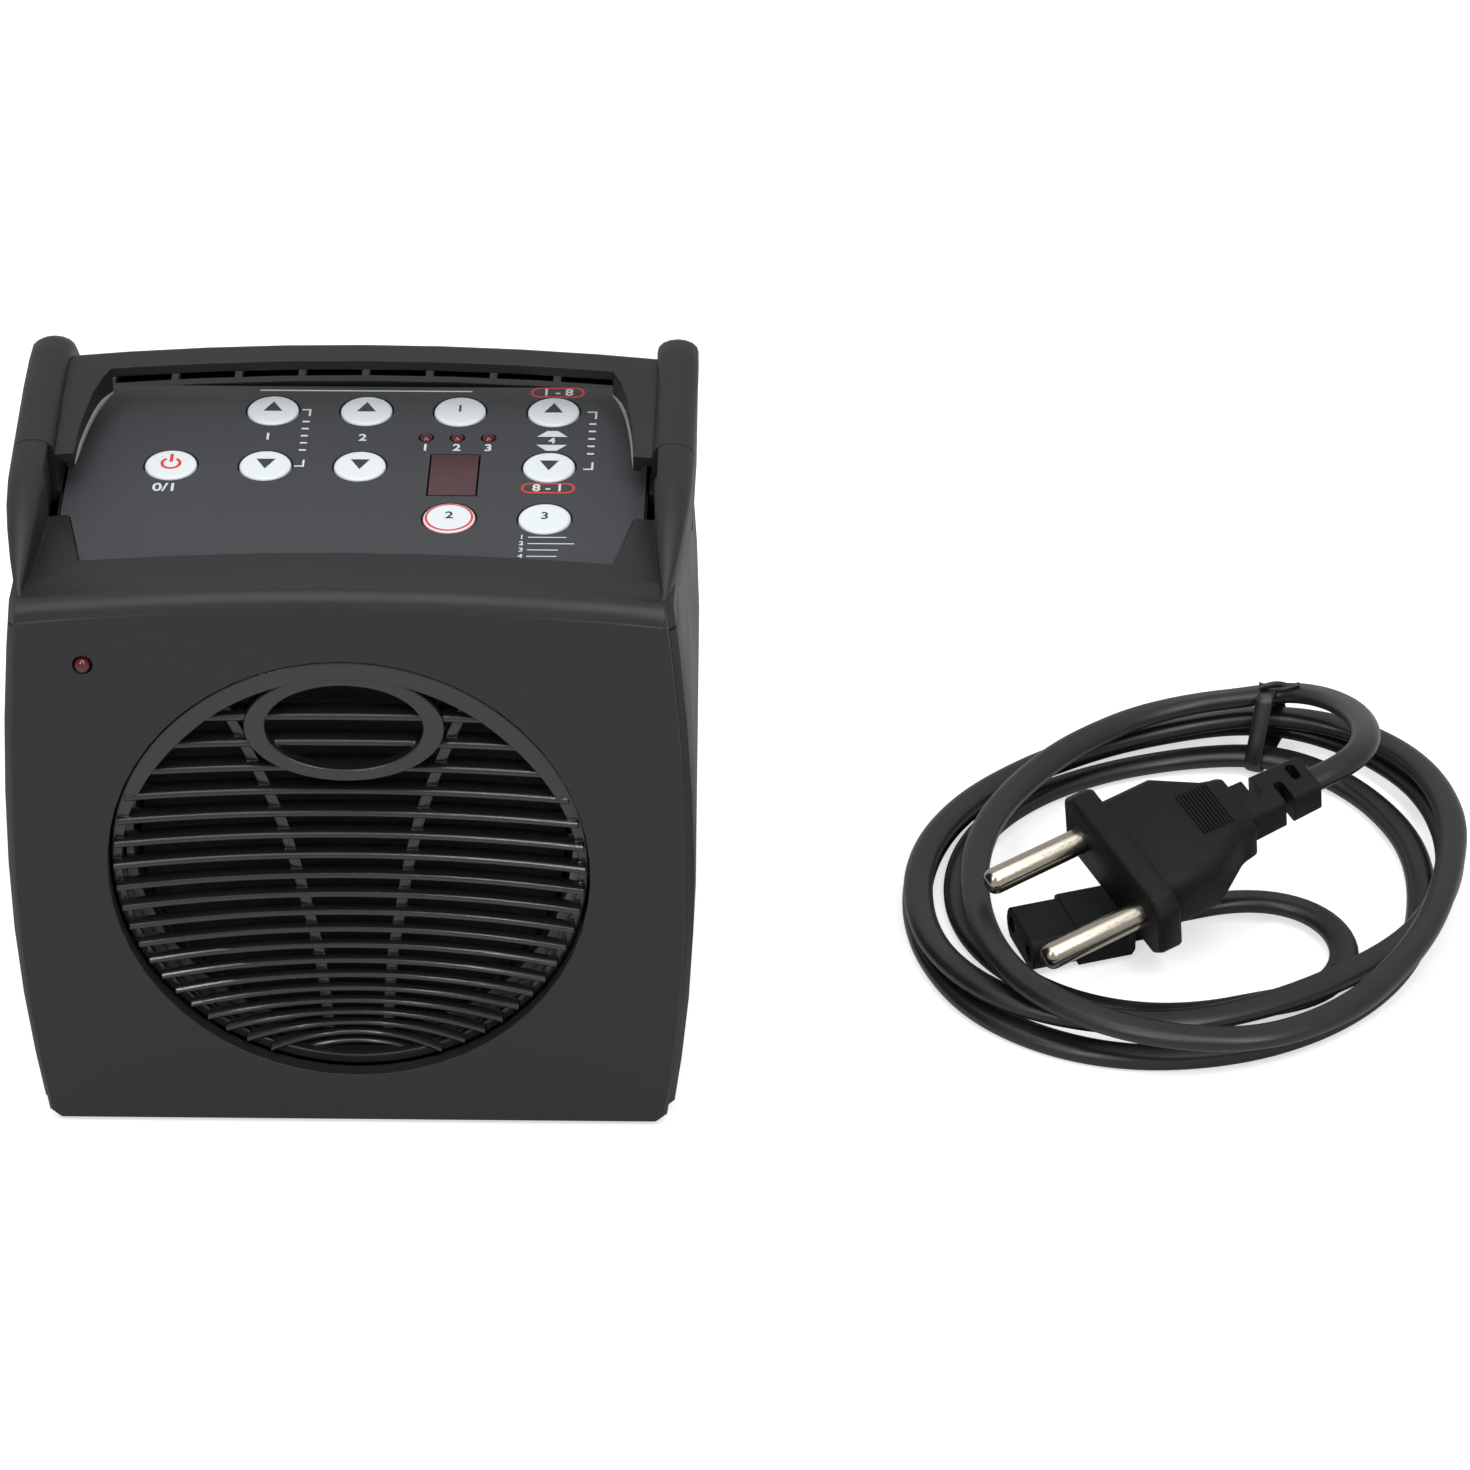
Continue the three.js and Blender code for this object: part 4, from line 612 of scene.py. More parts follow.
# a row of bars that fills the speaker opening: each bar's drop, length, bow and depth follow its number
def slatTree():
    tree, known = newTree("bowed slats", {
        "Count": "Int", "Radius": "Float", "First": "Float", "Top Pitch": "Float", "Bottom Pitch": "Float",
        "Top Thickness": "Float", "Bottom Thickness": "Float", "Depth": "Float", "Back": "Float", "Reach": "Float",
        "Lip": "Float", "Bowl": "Float", "Edge": "Float", "Bow": "Float", "Rounding": "Float",
        "Material": "Material"})
    row = addNode(tree, "GeometryNodeMeshLine", None, {"Count": known["Count"], "Offset": (0, 0, 0)})
    number = addNode(tree, "GeometryNodeInputIndex").outputs[0]
    rows = addNode(tree, "GeometryNodeStoreNamedAttribute", {"data_type": "INT", "domain": "POINT"},
                   {"Geometry": row.outputs[0], "Name": "row", "Value": number})
    line = addNode(tree, "GeometryNodeCurvePrimitiveLine", None, {"Start": (-1, 0, 0), "End": (1, 0, 0)})
    finer = addNode(tree, "GeometryNodeResampleCurve", None, {"Curve": line.outputs[0], "Count": 41})
    bar = roundedBar(tree, finer.outputs[0], 1.0, 1.0, known["Rounding"])
    spread = addNode(tree, "GeometryNodeInstanceOnPoints", None, {"Points": rows.outputs[0], "Instance": bar})
    real = addNode(tree, "GeometryNodeRealizeInstances", None, {"Geometry": spread.outputs[0]})
    kept = addNode(tree, "GeometryNodeInputNamedAttribute", {"data_type": "INT"}, {"Name": "row"})
    place = addNode(tree, "GeometryNodeInputPosition").outputs[0]
    axes = addNode(tree, "ShaderNodeSeparateXYZ", None, {0: place})
    known.update(x=axes.outputs[0], y=axes.outputs[1], z=axes.outputs[2], i=kept.outputs[0])
    steps = [
        # drop below the top of the circle: the pitch closes evenly from row to row
        ("last", "SUBTRACT", "Count", 1.0), ("share", "DIVIDE", "i", "last"), ("before", "SUBTRACT", "i", 1.0),
        ("pairs", "MULTIPLY", "i", "before"), ("spans", "SUBTRACT", "last", 1.0), ("twice", "MULTIPLY", "spans", 2.0),
        ("closingShare", "DIVIDE", "pairs", "twice"), ("pitchFall", "SUBTRACT", "Top Pitch", "Bottom Pitch"),
        ("closing", "MULTIPLY", "closingShare", "pitchFall"), ("open", "MULTIPLY_ADD", "i", "Top Pitch", "First"),
        ("dropShare", "SUBTRACT", "open", "closing"), ("drop", "MULTIPLY", "dropShare", "Radius"),
        ("level", "SUBTRACT", "Radius", "drop"),
        ("thickFall", "SUBTRACT", "Bottom Thickness", "Top Thickness"),
        ("thick", "MULTIPLY_ADD", "share", "thickFall", "Top Thickness"),
        # half length: the bar's nearer edge still ends inside the wall
        ("lower", "SUBTRACT", "level", "thick"), ("levelSquare", "MULTIPLY", "level", "level"),
        ("lowerSquare", "MULTIPLY", "lower", "lower"), ("farther", "MAXIMUM", "levelSquare", "lowerSquare"),
        ("reachSquare", "MULTIPLY", "Reach", "Reach"), ("halfSquare", "SUBTRACT", "reachSquare", "farther"),
        ("half", "SQRT", "halfSquare"),
        # depth of the bowl here, and how far the bar's ends come forward
        ("turn", "MULTIPLY", "dropShare", bowl["turn"]), ("sine", "SINE", "turn"),
        ("swell", "POWER", "sine", bowl["swell"]),
        ("deep", "MULTIPLY_ADD", "swell", "Bowl", "Lip"), ("room", "SUBTRACT", "deep", "Edge"),
        ("bowFull", "MULTIPLY", "halfSquare", "Bow"), ("bowLess", "MINIMUM", "bowFull", "room"),
        ("bow", "MAXIMUM", "bowLess", 0.0), ("xx", "MULTIPLY", "x", "x"), ("lift", "MULTIPLY", "xx", "bow"),
        ("behind", "SUBTRACT", "lift", "deep"), ("left", "SUBTRACT", "Back", "deep"),
        ("depth", "MINIMUM", "left", "Depth"),
        ("inward", "SUBTRACT", "z", 0.5), ("newZ", "MULTIPLY_ADD", "inward", "depth", "behind"),
        ("downward", "SUBTRACT", "y", 0.5), ("newY", "MULTIPLY_ADD", "downward", "thick", "level"),
        ("newX", "MULTIPLY", "x", "half"),
    ]
    for name, operation, *terms in steps:
        made = addNode(tree, "ShaderNodeMath", {"operation": operation},
                       {i: known[t] if isinstance(t, str) else t for i, t in enumerate(terms)})
        known[name] = made.outputs[0]
    spot = addNode(tree, "ShaderNodeCombineXYZ", None, {0: known["newX"], 1: known["newY"], 2: known["newZ"]})
    bowed = addNode(tree, "GeometryNodeSetPosition", None,
                    {"Geometry": real.outputs[0], "Position": spot.outputs[0]})
    return closeTree(tree, bowed.outputs[0], known["Material"])


# the speaker grille, on the leaning face: lengths in mm, drops and sides as shares of the radius
grille = {
    "Count": 20, "Radius": 38.5, "First": 0.27013, "Top Pitch": 0.13247, "Bottom Pitch": 0.04156,
    "Top Thickness": 1.8, "Bottom Thickness": 1.1, "Depth": 4.2, "Back": 8.9, "Reach": 37.7,
    "Lip": 1.0, "Bowl": 5.6, "Edge": 1.1, "Bow": 0.031, "Rounding": 0.42,
    "centre": 47, "inner": 36.9, "wall": 0.9, "sides": 128,
    "rim": 2.0, "rimOut": 1.3, "rimBack": 4.5, "set": 0.4, "sink": 2.6,
    "rimFrom": -0.1, "rimOver": 0.85, "rimLeast": 0.2,  # where round the circle the rim is full, and its least width
    "badgeDrop": 12.6, "badge": (12.5, 15.9), "badgeDepth": (0.9, 3.3), "badgeFlatten": 0.61,
    "strutHalf": 1.0, "strutDepth": (1.3, 2.6),
    "struts": [
        (0.2597, 0.4935), (0.3558, 0.4519), (0.4805, 0.4052), (0.6026, 0.3623), (0.7221, 0.3221), (0.8442, 0.2857),
        (1.0727, 0.2351), (1.2701, 0.1987), (1.5039, 0.1571), (1.6805, 0.1390), (1.8675, 0.1273), (1.9481, 0.1247),
    ],
}


def bowlDepth(x, drop, half):
    deep = grille["Lip"] + grille["Bowl"] * math.sin(bowl["turn"] * drop / grille["Radius"]) ** bowl["swell"]
    bow = min(deep - grille["Edge"], grille["Bow"] * half * half)
    return deep - max(bow, 0) * (x / half) ** 2


def makeGrille():
    slats = grown("slats", [(0, 0, 0)], slatTree(), {**grille, "Material": grilleAbs})
    bm = bmesh.new()
    bm.from_mesh(slats)
    inner, edge, back = grille["inner"], grille["set"], -grille["Back"]
    outer, top = inner + grille["wall"], -edge - 0.3 - grille["sink"]
    turnInto(bm, roundedOutline([(inner, top), (outer, top), (outer, back), (inner, back)], 0.25), grille["sides"])
    rim = bmesh.new()
    near, far = inner - grille["rim"], inner + grille["rimOut"]
    turnInto(rim, roundedOutline([(near, -edge), (far, -edge), (far, -edge - grille["rimBack"]), (near, -edge - 1.2)],
                                 0.4, 4), grille["sides"])
    for v in rim.verts:  # full width at the top of the circle, dying out below its middle
        out = math.hypot(v.co.x, v.co.y)
        share = min(max((v.co.y / out - grille["rimFrom"]) / grille["rimOver"], 0), 1)
        share = share * share * (3 - 2 * share)
        least = grille["rimLeast"]
        kept = inner - (inner - out) * (least + (1 - least) * share) if out < inner else out
        v.co.x, v.co.y = v.co.x * kept / out, v.co.y * kept / out
        v.co.z -= grille["sink"] * (1 - share)
    joinInto(bm, rim)
    reach = grille["Reach"]
    for side in (-1, 1):
        rings = []
        for dropShare, sideShare in grille["struts"]:
            drop, x = dropShare * grille["Radius"], side * sideShare * grille["Radius"]
            level = grille["Radius"] - drop
            z = -bowlDepth(x, drop, math.sqrt(reach * reach - level * level))
            w = grille["strutHalf"]
            near, far = (z - depth for depth in grille["strutDepth"])
            outline = roundedOutline([(x - w, near), (x + w, near), (x + w, far), (x - w, far)], 0.3, 3)
            rings.append([(px, level, pz) for px, pz in outline])
        skinInto(bm, rings)
    low, high = grille["badge"]
    near, far = (-depth for depth in grille["badgeDepth"])
    badge = bmesh.new()
    turnInto(badge, roundedOutline([(low, near), (high, near), (high, far), (low, far)], 0.5, 4), 96,
             grille["badgeFlatten"], (0, grille["Radius"] - grille["badgeDrop"]))
    for v in badge.verts:
        out = math.hypot(v.co.x, v.co.y)
        if out > inner + 0.2:  # the oval's top runs into the wall
            v.co.x, v.co.y = v.co.x * (inner + 0.2) / out, v.co.y * (inner + 0.2) / out
    joinInto(bm, badge)
    placePiece("grille_moulding", bm, 35, faceFrame @ Matrix.Translation((0, grille["centre"], 0)),
               housing, grilleAbs, ("speaker_grille",))


makeGrille()
print("grille grown")

studs = studTree()

# the keys: flat caps a little proud of the film, each on its own body
keys = {
    "radius": 4.2, "proud": 0.15, "edge": 0.4, "crown": 0.06, "foot": -3.0,
    "collar": (5.2, -3.0, -4.0),
    "column": 15.24, "offset": 0.3, "rows": {"rear": 66.9, "middle": 50.6, "front": 35.7},
    "places": {  # column, row and mark
        "power": (-2, "middle", "power"), "volume_up": (-1, "rear", "up"), "volume_down": (-1, "middle", "down"),
        "tone_up": (0, "rear", "up"), "tone_down": (0, "middle", "down"), "note": (1, "rear", "1"),
        "pitch_up": (2, "rear", "up"), "pitch_down": (2, "middle", "down"), "memory": (1, "front", "2"),
        "mode": (2, "front", "3"),
    },
    "arrows": {"up": [(-1.55, -0.45), (1.55, -0.45), (0, 2.35)], "down": [(-1.55, 1.65), (0, -1.2), (1.55, 1.65)]},
    "power": {"arc": (0, 0.2, 1.7, 1.2, 122, 418), "bar": (0, 1.75, 0.55, 2.3)},
    "digit": (0, 0.5, 1.9),
    "ring": [(-0.72, -0.1), (-0.72, 0.06), (-0.36, 0.05), (0.03, -0.3), (0.03, -0.9), (-0.1, -0.9)],  # memory's, red
}


def keyPlace(name):
    column, row, _ = keys["places"][name]
    return keys["offset"] + column * keys["column"], alongPanel(keys["rows"][row])


# flat outlines for print: each is a list of closed loops, holes among them
def circleLoop(x, y, radius, steps=48):
    return [(x + radius * math.cos(a), y + radius * math.sin(a)) for a in around(steps)]


def arcBand(x, y, outer, inner, start, end, steps=40):
    angles = [math.radians(start + (end - start) * k / steps) for k in range(steps + 1)]
    return [[(x + outer * math.cos(a), y + outer * math.sin(a)) for a in angles]
            + [(x + inner * math.cos(a), y + inner * math.sin(a)) for a in reversed(angles)]]


def pillLoop(x, y, half, radius, steps=12):
    right = [math.radians(-90 + 180 * k / steps) for k in range(steps + 1)]
    return ([(x + half - radius + radius * math.cos(a), y + radius * math.sin(a)) for a in right]
            + [(x - half + radius - radius * math.cos(a), y - radius * math.sin(a)) for a in right])


def barLoop(x, y, width, height):
    return [[(x - width / 2, y - height / 2), (x + width / 2, y - height / 2),
             (x + width / 2, y + height / 2), (x - width / 2, y + height / 2)]]


# a thin printed skin from loops or from digits, drawn in mm
def stamp(bm, shape, level, thick=0.03):
    if shape[0] == "digits":
        text, x, y, height = shape[1:]
        data = bpy.data.curves.new("digits", "FONT")
        data.body, data.size, data.align_x, data.align_y = text, height / 0.7, "CENTER", "CENTER"
        data.offset = 0.03 * height
        shift = (x, y, level)
    else:
        data = bpy.data.curves.new("loops", "CURVE")
        data.dimensions, data.fill_mode = "2D", "BOTH"
        for loop in shape:
            spline = data.splines.new("POLY")
            spline.points.add(len(loop) - 1)
            for point, (x, y) in zip(spline.points, loop):
                point.co = (x, y, 0, 1)
            spline.use_cyclic_u = True
        shift = (0, 0, level)
    data.extrude = thick / 2
    mesh = frozen(newObject("stamp", data))
    mesh.transform(Matrix.Translation(shift))
    bm.from_mesh(mesh)


def makeKeys():
    values = {"Radius": keys["radius"], "Top": keys["proud"], "Bottom": keys["foot"], "Edge": keys["edge"],
              "Crown": keys["crown"], "Collar Radius": keys["collar"][0], "Collar Top": keys["collar"][1],
              "Collar Bottom": keys["collar"][2], "Recess": 0.0, "Recess Depth": 0.5, "Material": keySilicone}
    level = keys["proud"] + keys["crown"] + 0.005
    for name, (_, _, mark) in keys["places"].items():
        frameHere = panelFrame @ Matrix.Translation((*keyPlace(name), 0))
        cap = settle(grown(name + "_cap", [(0, 0, 0)], studs, values), frameHere)
        addPiece(name + "_cap", cap, name + "_key", keySilicone, (name + "_key",))
        bm = bmesh.new()
        if mark in keys["arrows"]:
            stamp(bm, [keys["arrows"][mark]], level)
        elif mark == "power":
            stamp(bm, arcBand(*keys["power"]["arc"]), level)
            stamp(bm, barLoop(*keys["power"]["bar"]), level)
        else:
            stamp(bm, ("digits", mark, *keys["digit"]), level)
        placePiece(name + "_mark", bm, 40, frameHere, name + "_key",
                   inkRed if mark == "power" else inkDark)
    bm = bmesh.new()
    r, top = keys["radius"], keys["proud"]
    turnInto(bm, roundedOutline([(r + dx, top + dz) for dx, dz in keys["ring"]], 0.12, 3), 64)
    placePiece("memory_ring", bm, 40, panelFrame @ Matrix.Translation((*keyPlace("memory"), 0)),
               "memory_key", inkRed)


makeKeys()
print("keys capped and marked")


# print on the control panel: white and red ink, in panel millimetres (x across, y from the foot of the side view)
panel = {
    "rest": 0.012,  # height of the ink's middle above the film
    "film": 0.6,
    "clear": 0.3,
    "line": 0.34,  # width of the brackets' lines
    "pillLine": 0.36,
    "listDigit": 1.1, "listLine": 0.22,
    "lamps": (15.54, 59.1, 5.05, 1.3),
    "window": (15.54, 48.2, 8.2, 12.3),
    "outline": [(-41.9, 21.5), (41.9, 21.5), (44.9, 35.4), (46.6, 35.4),
                (46.6, 74.2), (-46.6, 74.2), (-46.6, 35.4), (-44.9, 35.4)],
    "white": [
        ("angle", -10.2, 67.3, -8.7, 65.3), ("angle", -10.3, 50.3, -8.7, 52.3),
        ("angle", 36.3, 67.1, 37.9, 64.9), ("angle", 36.3, 49.9, 37.9, 52.1),
        ("bars", -9.3, (63.6, 61.5, 59.4, 57.3, 55.2), 1.15, 0.42),
        ("bars", 37.3, (63.4, 61.2, 59.0, 56.8, 54.6), 1.15, 0.42),
        ("rule", -17.5, 17.2, 72.9, 0.32), ("digits", "1", -15.2, 59.1, 1.9), ("digits", "2", 0.2, 58.9, 1.9),
        ("digits", "0/1", -30.6, 44.0, 2.2), ("digits", "1", 10.5, 56.1, 1.9), ("digits", "2", 15.6, 56.1, 1.9),
        ("digits", "3", 20.7, 56.1, 1.9), ("digits", "1 - 8", 31.2, 72.7, 1.9), ("digits", "8 - 1", 30.9, 44.5, 1.9),
        ("wedge", 30.9, 60.4, 4.9, 1.7), ("wedge", 30.9, 56.3, 4.9, -1.7), ("digits", "4", 30.9, 58.35, 1.6),
        ("list", 27.0, (30.4, 28.6, 26.8, 25.0, 23.2), (6.1, 7.4, 4.9, 4.8, 6.4)),
    ],
    "red": [("pill", 31.2, 72.7, 8.8, 3.0), ("pill", 30.9, 44.5, 8.7, 3.0)],
}


# the panel's marks as outlines and digits for the stamp
def printShapes(marks):
    shapes = []
    for kind, *v in marks:
        if kind == "angle":
            x0, y0, x1, y1 = v
            line = panel["line"]
            low, bend, end = (alongPanel(y) for y in (y0, y0 + math.copysign(line, y1 - y0), y1))
            shapes.append([[(x0, low), (x1, low), (x1, end), (x1 - line, end), (x1 - line, bend), (x0, bend)]])
        elif kind == "bars":
            shapes += [barLoop(v[0], alongPanel(y), v[2], v[3]) for y in v[1]]
        elif kind == "rule":
            shapes.append(barLoop((v[0] + v[1]) / 2, alongPanel(v[2]), v[1] - v[0], v[3]))
        elif kind == "digits":
            shapes.append(("digits", v[0], v[1], alongPanel(v[2]), v[3]))
        elif kind == "wedge":
            x, y, w, h = v[0], alongPanel(v[1]), v[2] / 2, v[3] / 2
            tip = w * 0.35
            shapes.append([[(x - w, y - h), (x + w, y - h), (x + tip, y + h), (x - tip, y + h)]])
        elif kind == "pill":
            x, y, w, h = v[0], alongPanel(v[1]), v[2] / 2, v[3] / 2
            line = panel["pillLine"]
            shapes.append([pillLoop(x, y, w, h), pillLoop(x, y, w - line, h - line)])
        elif kind == "list":
            for n, (y, run) in enumerate(zip(v[1], v[2]), 1):
                shapes.append(("digits", str(n), v[0] + 0.4, alongPanel(y), panel["listDigit"]))
                shapes.append(barLoop(v[0] + 1.4 + run / 2, alongPanel(y), run, panel["listLine"]))
    return shapes


def makePanel():
    holes = [circleLoop(*keyPlace(name), keys["radius"] + panel["clear"], 64) for name in keys["places"]]
    x, y, pitch, radius = panel["lamps"]
    holes += [circleLoop(x + i * pitch, alongPanel(y), radius, 32) for i in (-1, 0, 1)]
    x, y, wide, long = panel["window"]
    holes += [barLoop(x, alongPanel(y), wide, long)[0]]
    outline = [(x, alongPanel(y)) for x, y in panel["outline"]]
    bm = bmesh.new()
    stamp(bm, [outline, *holes], -panel["film"] / 2, panel["film"])
    placePiece("panel_film", bm, 30, panelFrame, housing, panelFilm, ("control_panel",))
    for colour, ink in (("white", inkWhite), ("red", inkRed)):
        bm = bmesh.new()
        for shape in printShapes(panel[colour]):
            stamp(bm, shape, panel["rest"])
        placePiece("panel_print_" + colour, bm, 40, panelFrame, housing, ink)


makePanel()
print("panel printed")

# lamps: round lenses with domed tops, in the panel and low on the face's left
lamps = {
    "panel": {"radius": 1.1, "low": -8.2, "high": 0.5},
    "power": {"radius": 1.3, "low": -4.2, "high": 1.1, "place": (-40.6, 84.6)},
}


def makeLamp(name, node, size, matrix):
    r, low, high = size["radius"], size["low"], size["high"]
    rise = r * 0.9
    dome = [(r * math.cos(a), high - rise + rise * math.sin(a)) for a in (math.pi * k / 16 for k in range(8))]
    bm = bmesh.new()
    turnInto(bm, [(0, low), (r, low), *dome, (0, high)], 32)
    placePiece(name, bm, 50, matrix, housing, lampEpoxy, (node,))


x, y, pitch, _ = panel["lamps"]
for i in (-1, 0, 1):
    makeLamp(f"panel_lens_{i + 2}", f"panel_lamp_{i + 2}", lamps["panel"],
             panelFrame @ Matrix.Translation((x + i * pitch, alongPanel(y), 0)))
makeLamp("power_lens", "power_lamp", lamps["power"], faceFrame @ Matrix.Translation((*lamps["power"]["place"], 0)))
print("lamps set")

# screws and feet, from the same stud tree
fixings = {
    "case_screws": {
        "points": [(-44.2, 24.6, 8.5), (44.2, 24.6, 8.5), (44.2, 24.6, 80.5), (-44.2, 24.6, 80.5)],
        "nodes": "case_screw_", "frame": unitFrame, "turn": -90, "material": zincSteel, "slot": "screw_steel",
        "values": {"Radius": 2.7, "Top": 0.0, "Bottom": -2.0, "Edge": 0.8, "Crown": 0.0, "Collar Radius": 1.3,
                   "Collar Top": -1.9, "Collar Bottom": -13.6, "Recess": 0.55, "Recess Depth": 1.1},
    },
    "speaker_screws": {
        "points": [(-30, 17, -9.2), (30, 17, -9.2), (30, 77, -9.2), (-30, 77, -9.2)],
        "nodes": "speaker_screw_", "frame": faceFrame, "turn": 180, "material": zincSteel, "slot": "screw_steel",
        "values": {"Radius": 2.75, "Top": 3.1, "Bottom": 1.5, "Edge": 0.9, "Crown": 0.0, "Collar Radius": 1.2,
                   "Collar Top": 1.6, "Collar Bottom": -5.4, "Recess": 0.55, "Recess Depth": 0.9},
    },
    "rubber_feet": {
        "points": [(-40, 12, 0), (40, 12, 0), (40, 76, 0), (-40, 76, 0)],
        "nodes": "rubber_foot_", "frame": unitFrame, "turn": 180, "material": footRubber, "slot": "foot_rubber",
        "values": {"Radius": 5.0, "Top": 1.0, "Bottom": -0.5, "Edge": 0.5, "Crown": 0.0, "Collar Radius": 4.6,
                   "Collar Top": 0.2, "Collar Bottom": -0.7, "Recess": 0.0, "Recess Depth": 0.5},
    },
}
for name, row in fixings.items():
    turn = Euler((math.radians(row["turn"]), 0, 0))
    mesh = grown(name, row["points"], studs, {**row["values"], "Turn": turn, "Material": row["material"]})
    addPiece(name, settle(mesh, row["frame"]), housing, row["material"],
             [row["nodes"] + str(k) for k in range(1, 5)])
print("screws and feet fitted")


# short bars in a row, each with rounded edges: the grip on the plug
def ribTree():
    tree, known = newTree("grip ribs", {"Count": "Int", "Offset": "Vector", "Length": "Float", "Width": "Float",
                                        "Height": "Float", "Rounding": "Float", "Material": "Material"})
    row = addNode(tree, "GeometryNodeMeshLine", None, {"Count": known["Count"], "Offset": known["Offset"]})
    half = addNode(tree, "ShaderNodeMath", {"operation": "MULTIPLY"}, {0: known["Length"], 1: 0.5})
    back = addNode(tree, "ShaderNodeMath", {"operation": "MULTIPLY"}, {0: known["Length"], 1: -0.5})
    start = addNode(tree, "ShaderNodeCombineXYZ", None, {1: back.outputs[0]})
    end = addNode(tree, "ShaderNodeCombineXYZ", None, {1: half.outputs[0]})
    line = addNode(tree, "GeometryNodeCurvePrimitiveLine", None, {"Start": start.outputs[0], "End": end.outputs[0]})
    bar = roundedBar(tree, line.outputs[0], known["Width"], known["Height"], known["Rounding"])
    spread = addNode(tree, "GeometryNodeInstanceOnPoints", None, {"Points": row.outputs[0], "Instance": bar})
    return closeTree(tree, spread.outputs[0], known["Material"])


# rounds a mesh's edges, as far as its shortest edge allows
def bevelled(mesh, width, segments, angle=28):
    holder = newObject("holder", mesh)
    bevel = holder.modifiers.new("edges", "BEVEL")
    bevel.width, bevel.segments = width, segments
    bevel.limit_method, bevel.angle_limit = "ANGLE", math.radians(angle)
    bevel.use_clamp_overlap, bevel.miter_outer, bevel.harden_normals = True, "MITER_ARC", True
    return frozen(holder)


# what is left of a mesh when another is cut from it
def carved(mesh, cutter):
    block, knife = newObject("block", mesh), newObject("cutter", cutter)
    cut = block.modifiers.new("cut", "BOOLEAN")
    cut.operation, cut.solver, cut.object = "DIFFERENCE", "EXACT", knife
    made = frozen(block)
    bpy.data.objects.remove(knife)
    return made


# the two-pin plug, in its own frame: x along the pins, z up
plug = {
    "flange": {"thick": 4.5, "half": 15.6, "high": 7.0, "corner": 2.6},
    # x, half width, half height
    "body": [(-4.0, 12.0, 6.0), (-14.0, 12.0, 6.0), (-21.5, 6.9, 5.6), (-24.6, 6.6, 5.2)],
    "corner": 2.0,
    "relief": [(-24.0, 4.4, 3.6), (-26.0, 4.3, 3.5), (-38.6, 4.1, 3.2)],
    "slots": [(-28.4, -2.3, 6.0), (-32.4, 2.4, 5.8), (-36.0, -1.0, 3.6)],  # x, y, length across
    "slotWidth": 1.7,
    "grip": {"Count": 10, "Offset": (-0.62, 0, -0.033), "Length": 9.6, "Width": 0.34, "Height": 0.7,
             "Rounding": 0.12},
    "gripStart": (-15.6, 0, 5.92),
    "pinSpacing": 19.0, "pinRadius": 2.25, "pinLength": 18.6, "pinRoot": -2.6, "pinTip": 1.8,
}


# a rectangle across x with its four corners cut
def octagon(x, half, high, corner):
    y, z = half - corner, high - corner
    return [(x, -half, -z), (x, -y, -high), (x, y, -high), (x, half, -z),
            (x, half, z), (x, y, high), (x, -y, high), (x, -half, z)]


def makePlug():
    f = plug["flange"]
    bm = bmesh.new()
    skinInto(bm, [octagon(x, f["half"], f["high"], f["corner"]) for x in (-f["thick"], 0)])
    skinInto(bm, [octagon(x, half, high, plug["corner"]) for x, half, high in plug["body"]])
    blocks = bevelled(meshFrom(bm, "blocks", 20), 0.7, 3)
    bm = bmesh.new()
    skinInto(bm, [octagon(x, half, high, 0.7) for x, half, high in plug["relief"]])
    relief = bevelled(meshFrom(bm, "relief", 20), 0.3, 2, 40)
    bm = bmesh.new()
    for x, y, long in plug["slots"]:
        loop = [(x + dx, y + dy) for dy, dx in pillLoop(0, 0, long / 2, plug["slotWidth"] / 2, 8)]
        skinInto(bm, [[(px, py, z) for px, py in loop] for z in (-9, 9)])
    relief = carved(relief, meshFrom(bm, "slots", 20))
    ribs = grown("ribs", [(0, 0, 0)], ribTree(), {**plug["grip"], "Material": plugPvc})
    ribs.transform(Matrix.Translation(plug["gripStart"]))
    bm = bmesh.new()
    for mesh in (blocks, relief, ribs):
        bm.from_mesh(mesh)
    placePiece("plug_moulding", bm, 28, plugFrame, housing, plugPvc, ("plug_body",))
    r, long, blunt = plug["pinRadius"], plug["pinLength"], plug["pinTip"]
    tip = [(r * math.cos(a) ** 0.6, long - blunt + blunt * math.sin(a)) for a in (math.pi * k / 16 for k in range(8))]
    for number, side in ((1, -1), (2, 1)):
        bm = bmesh.new()
        turnInto(bm, [(0, plug["pinRoot"]), (r, plug["pinRoot"]), *tip, (0, long)], 40)
        place = Matrix.Translation((0, side * plug["pinSpacing"] / 2, 0)) @ Matrix.Rotation(math.radians(90), 4, "Y")
        placePiece(f"plug_prong_{number}", bm, 50, plugFrame @ place, housing, pinNickel,
                   (f"plug_pin_{number}",))


makePlug()
print("plug moulded")

# the tie: a flattened loop of coated wire round all the strands, its two ends twisted on top
tie = {
    "radius": 44.3, "strands": 4, "fit": 0.15, "width": 3.0, "thick": 0.7,
    "twist": 0.95, "twistPitch": 9.5, "twistLength": 7.0, "twistWire": 0.5, "twistWay": (0.3, -0.95, 0),
}


# the outer ones of some points, in order round them
def outerLoop(points):
    points = sorted(points)
    halves = []
    for run in (points, points[::-1]):
        half = []
        for p in run:
            while len(half) > 1 and ((half[-1][0] - half[-2][0]) * (p[1] - half[-2][1])
                                     <= (half[-1][1] - half[-2][1]) * (p[0] - half[-2][0])):
                half.pop()
            half.append(p)
        halves += half[:-1]
    return halves


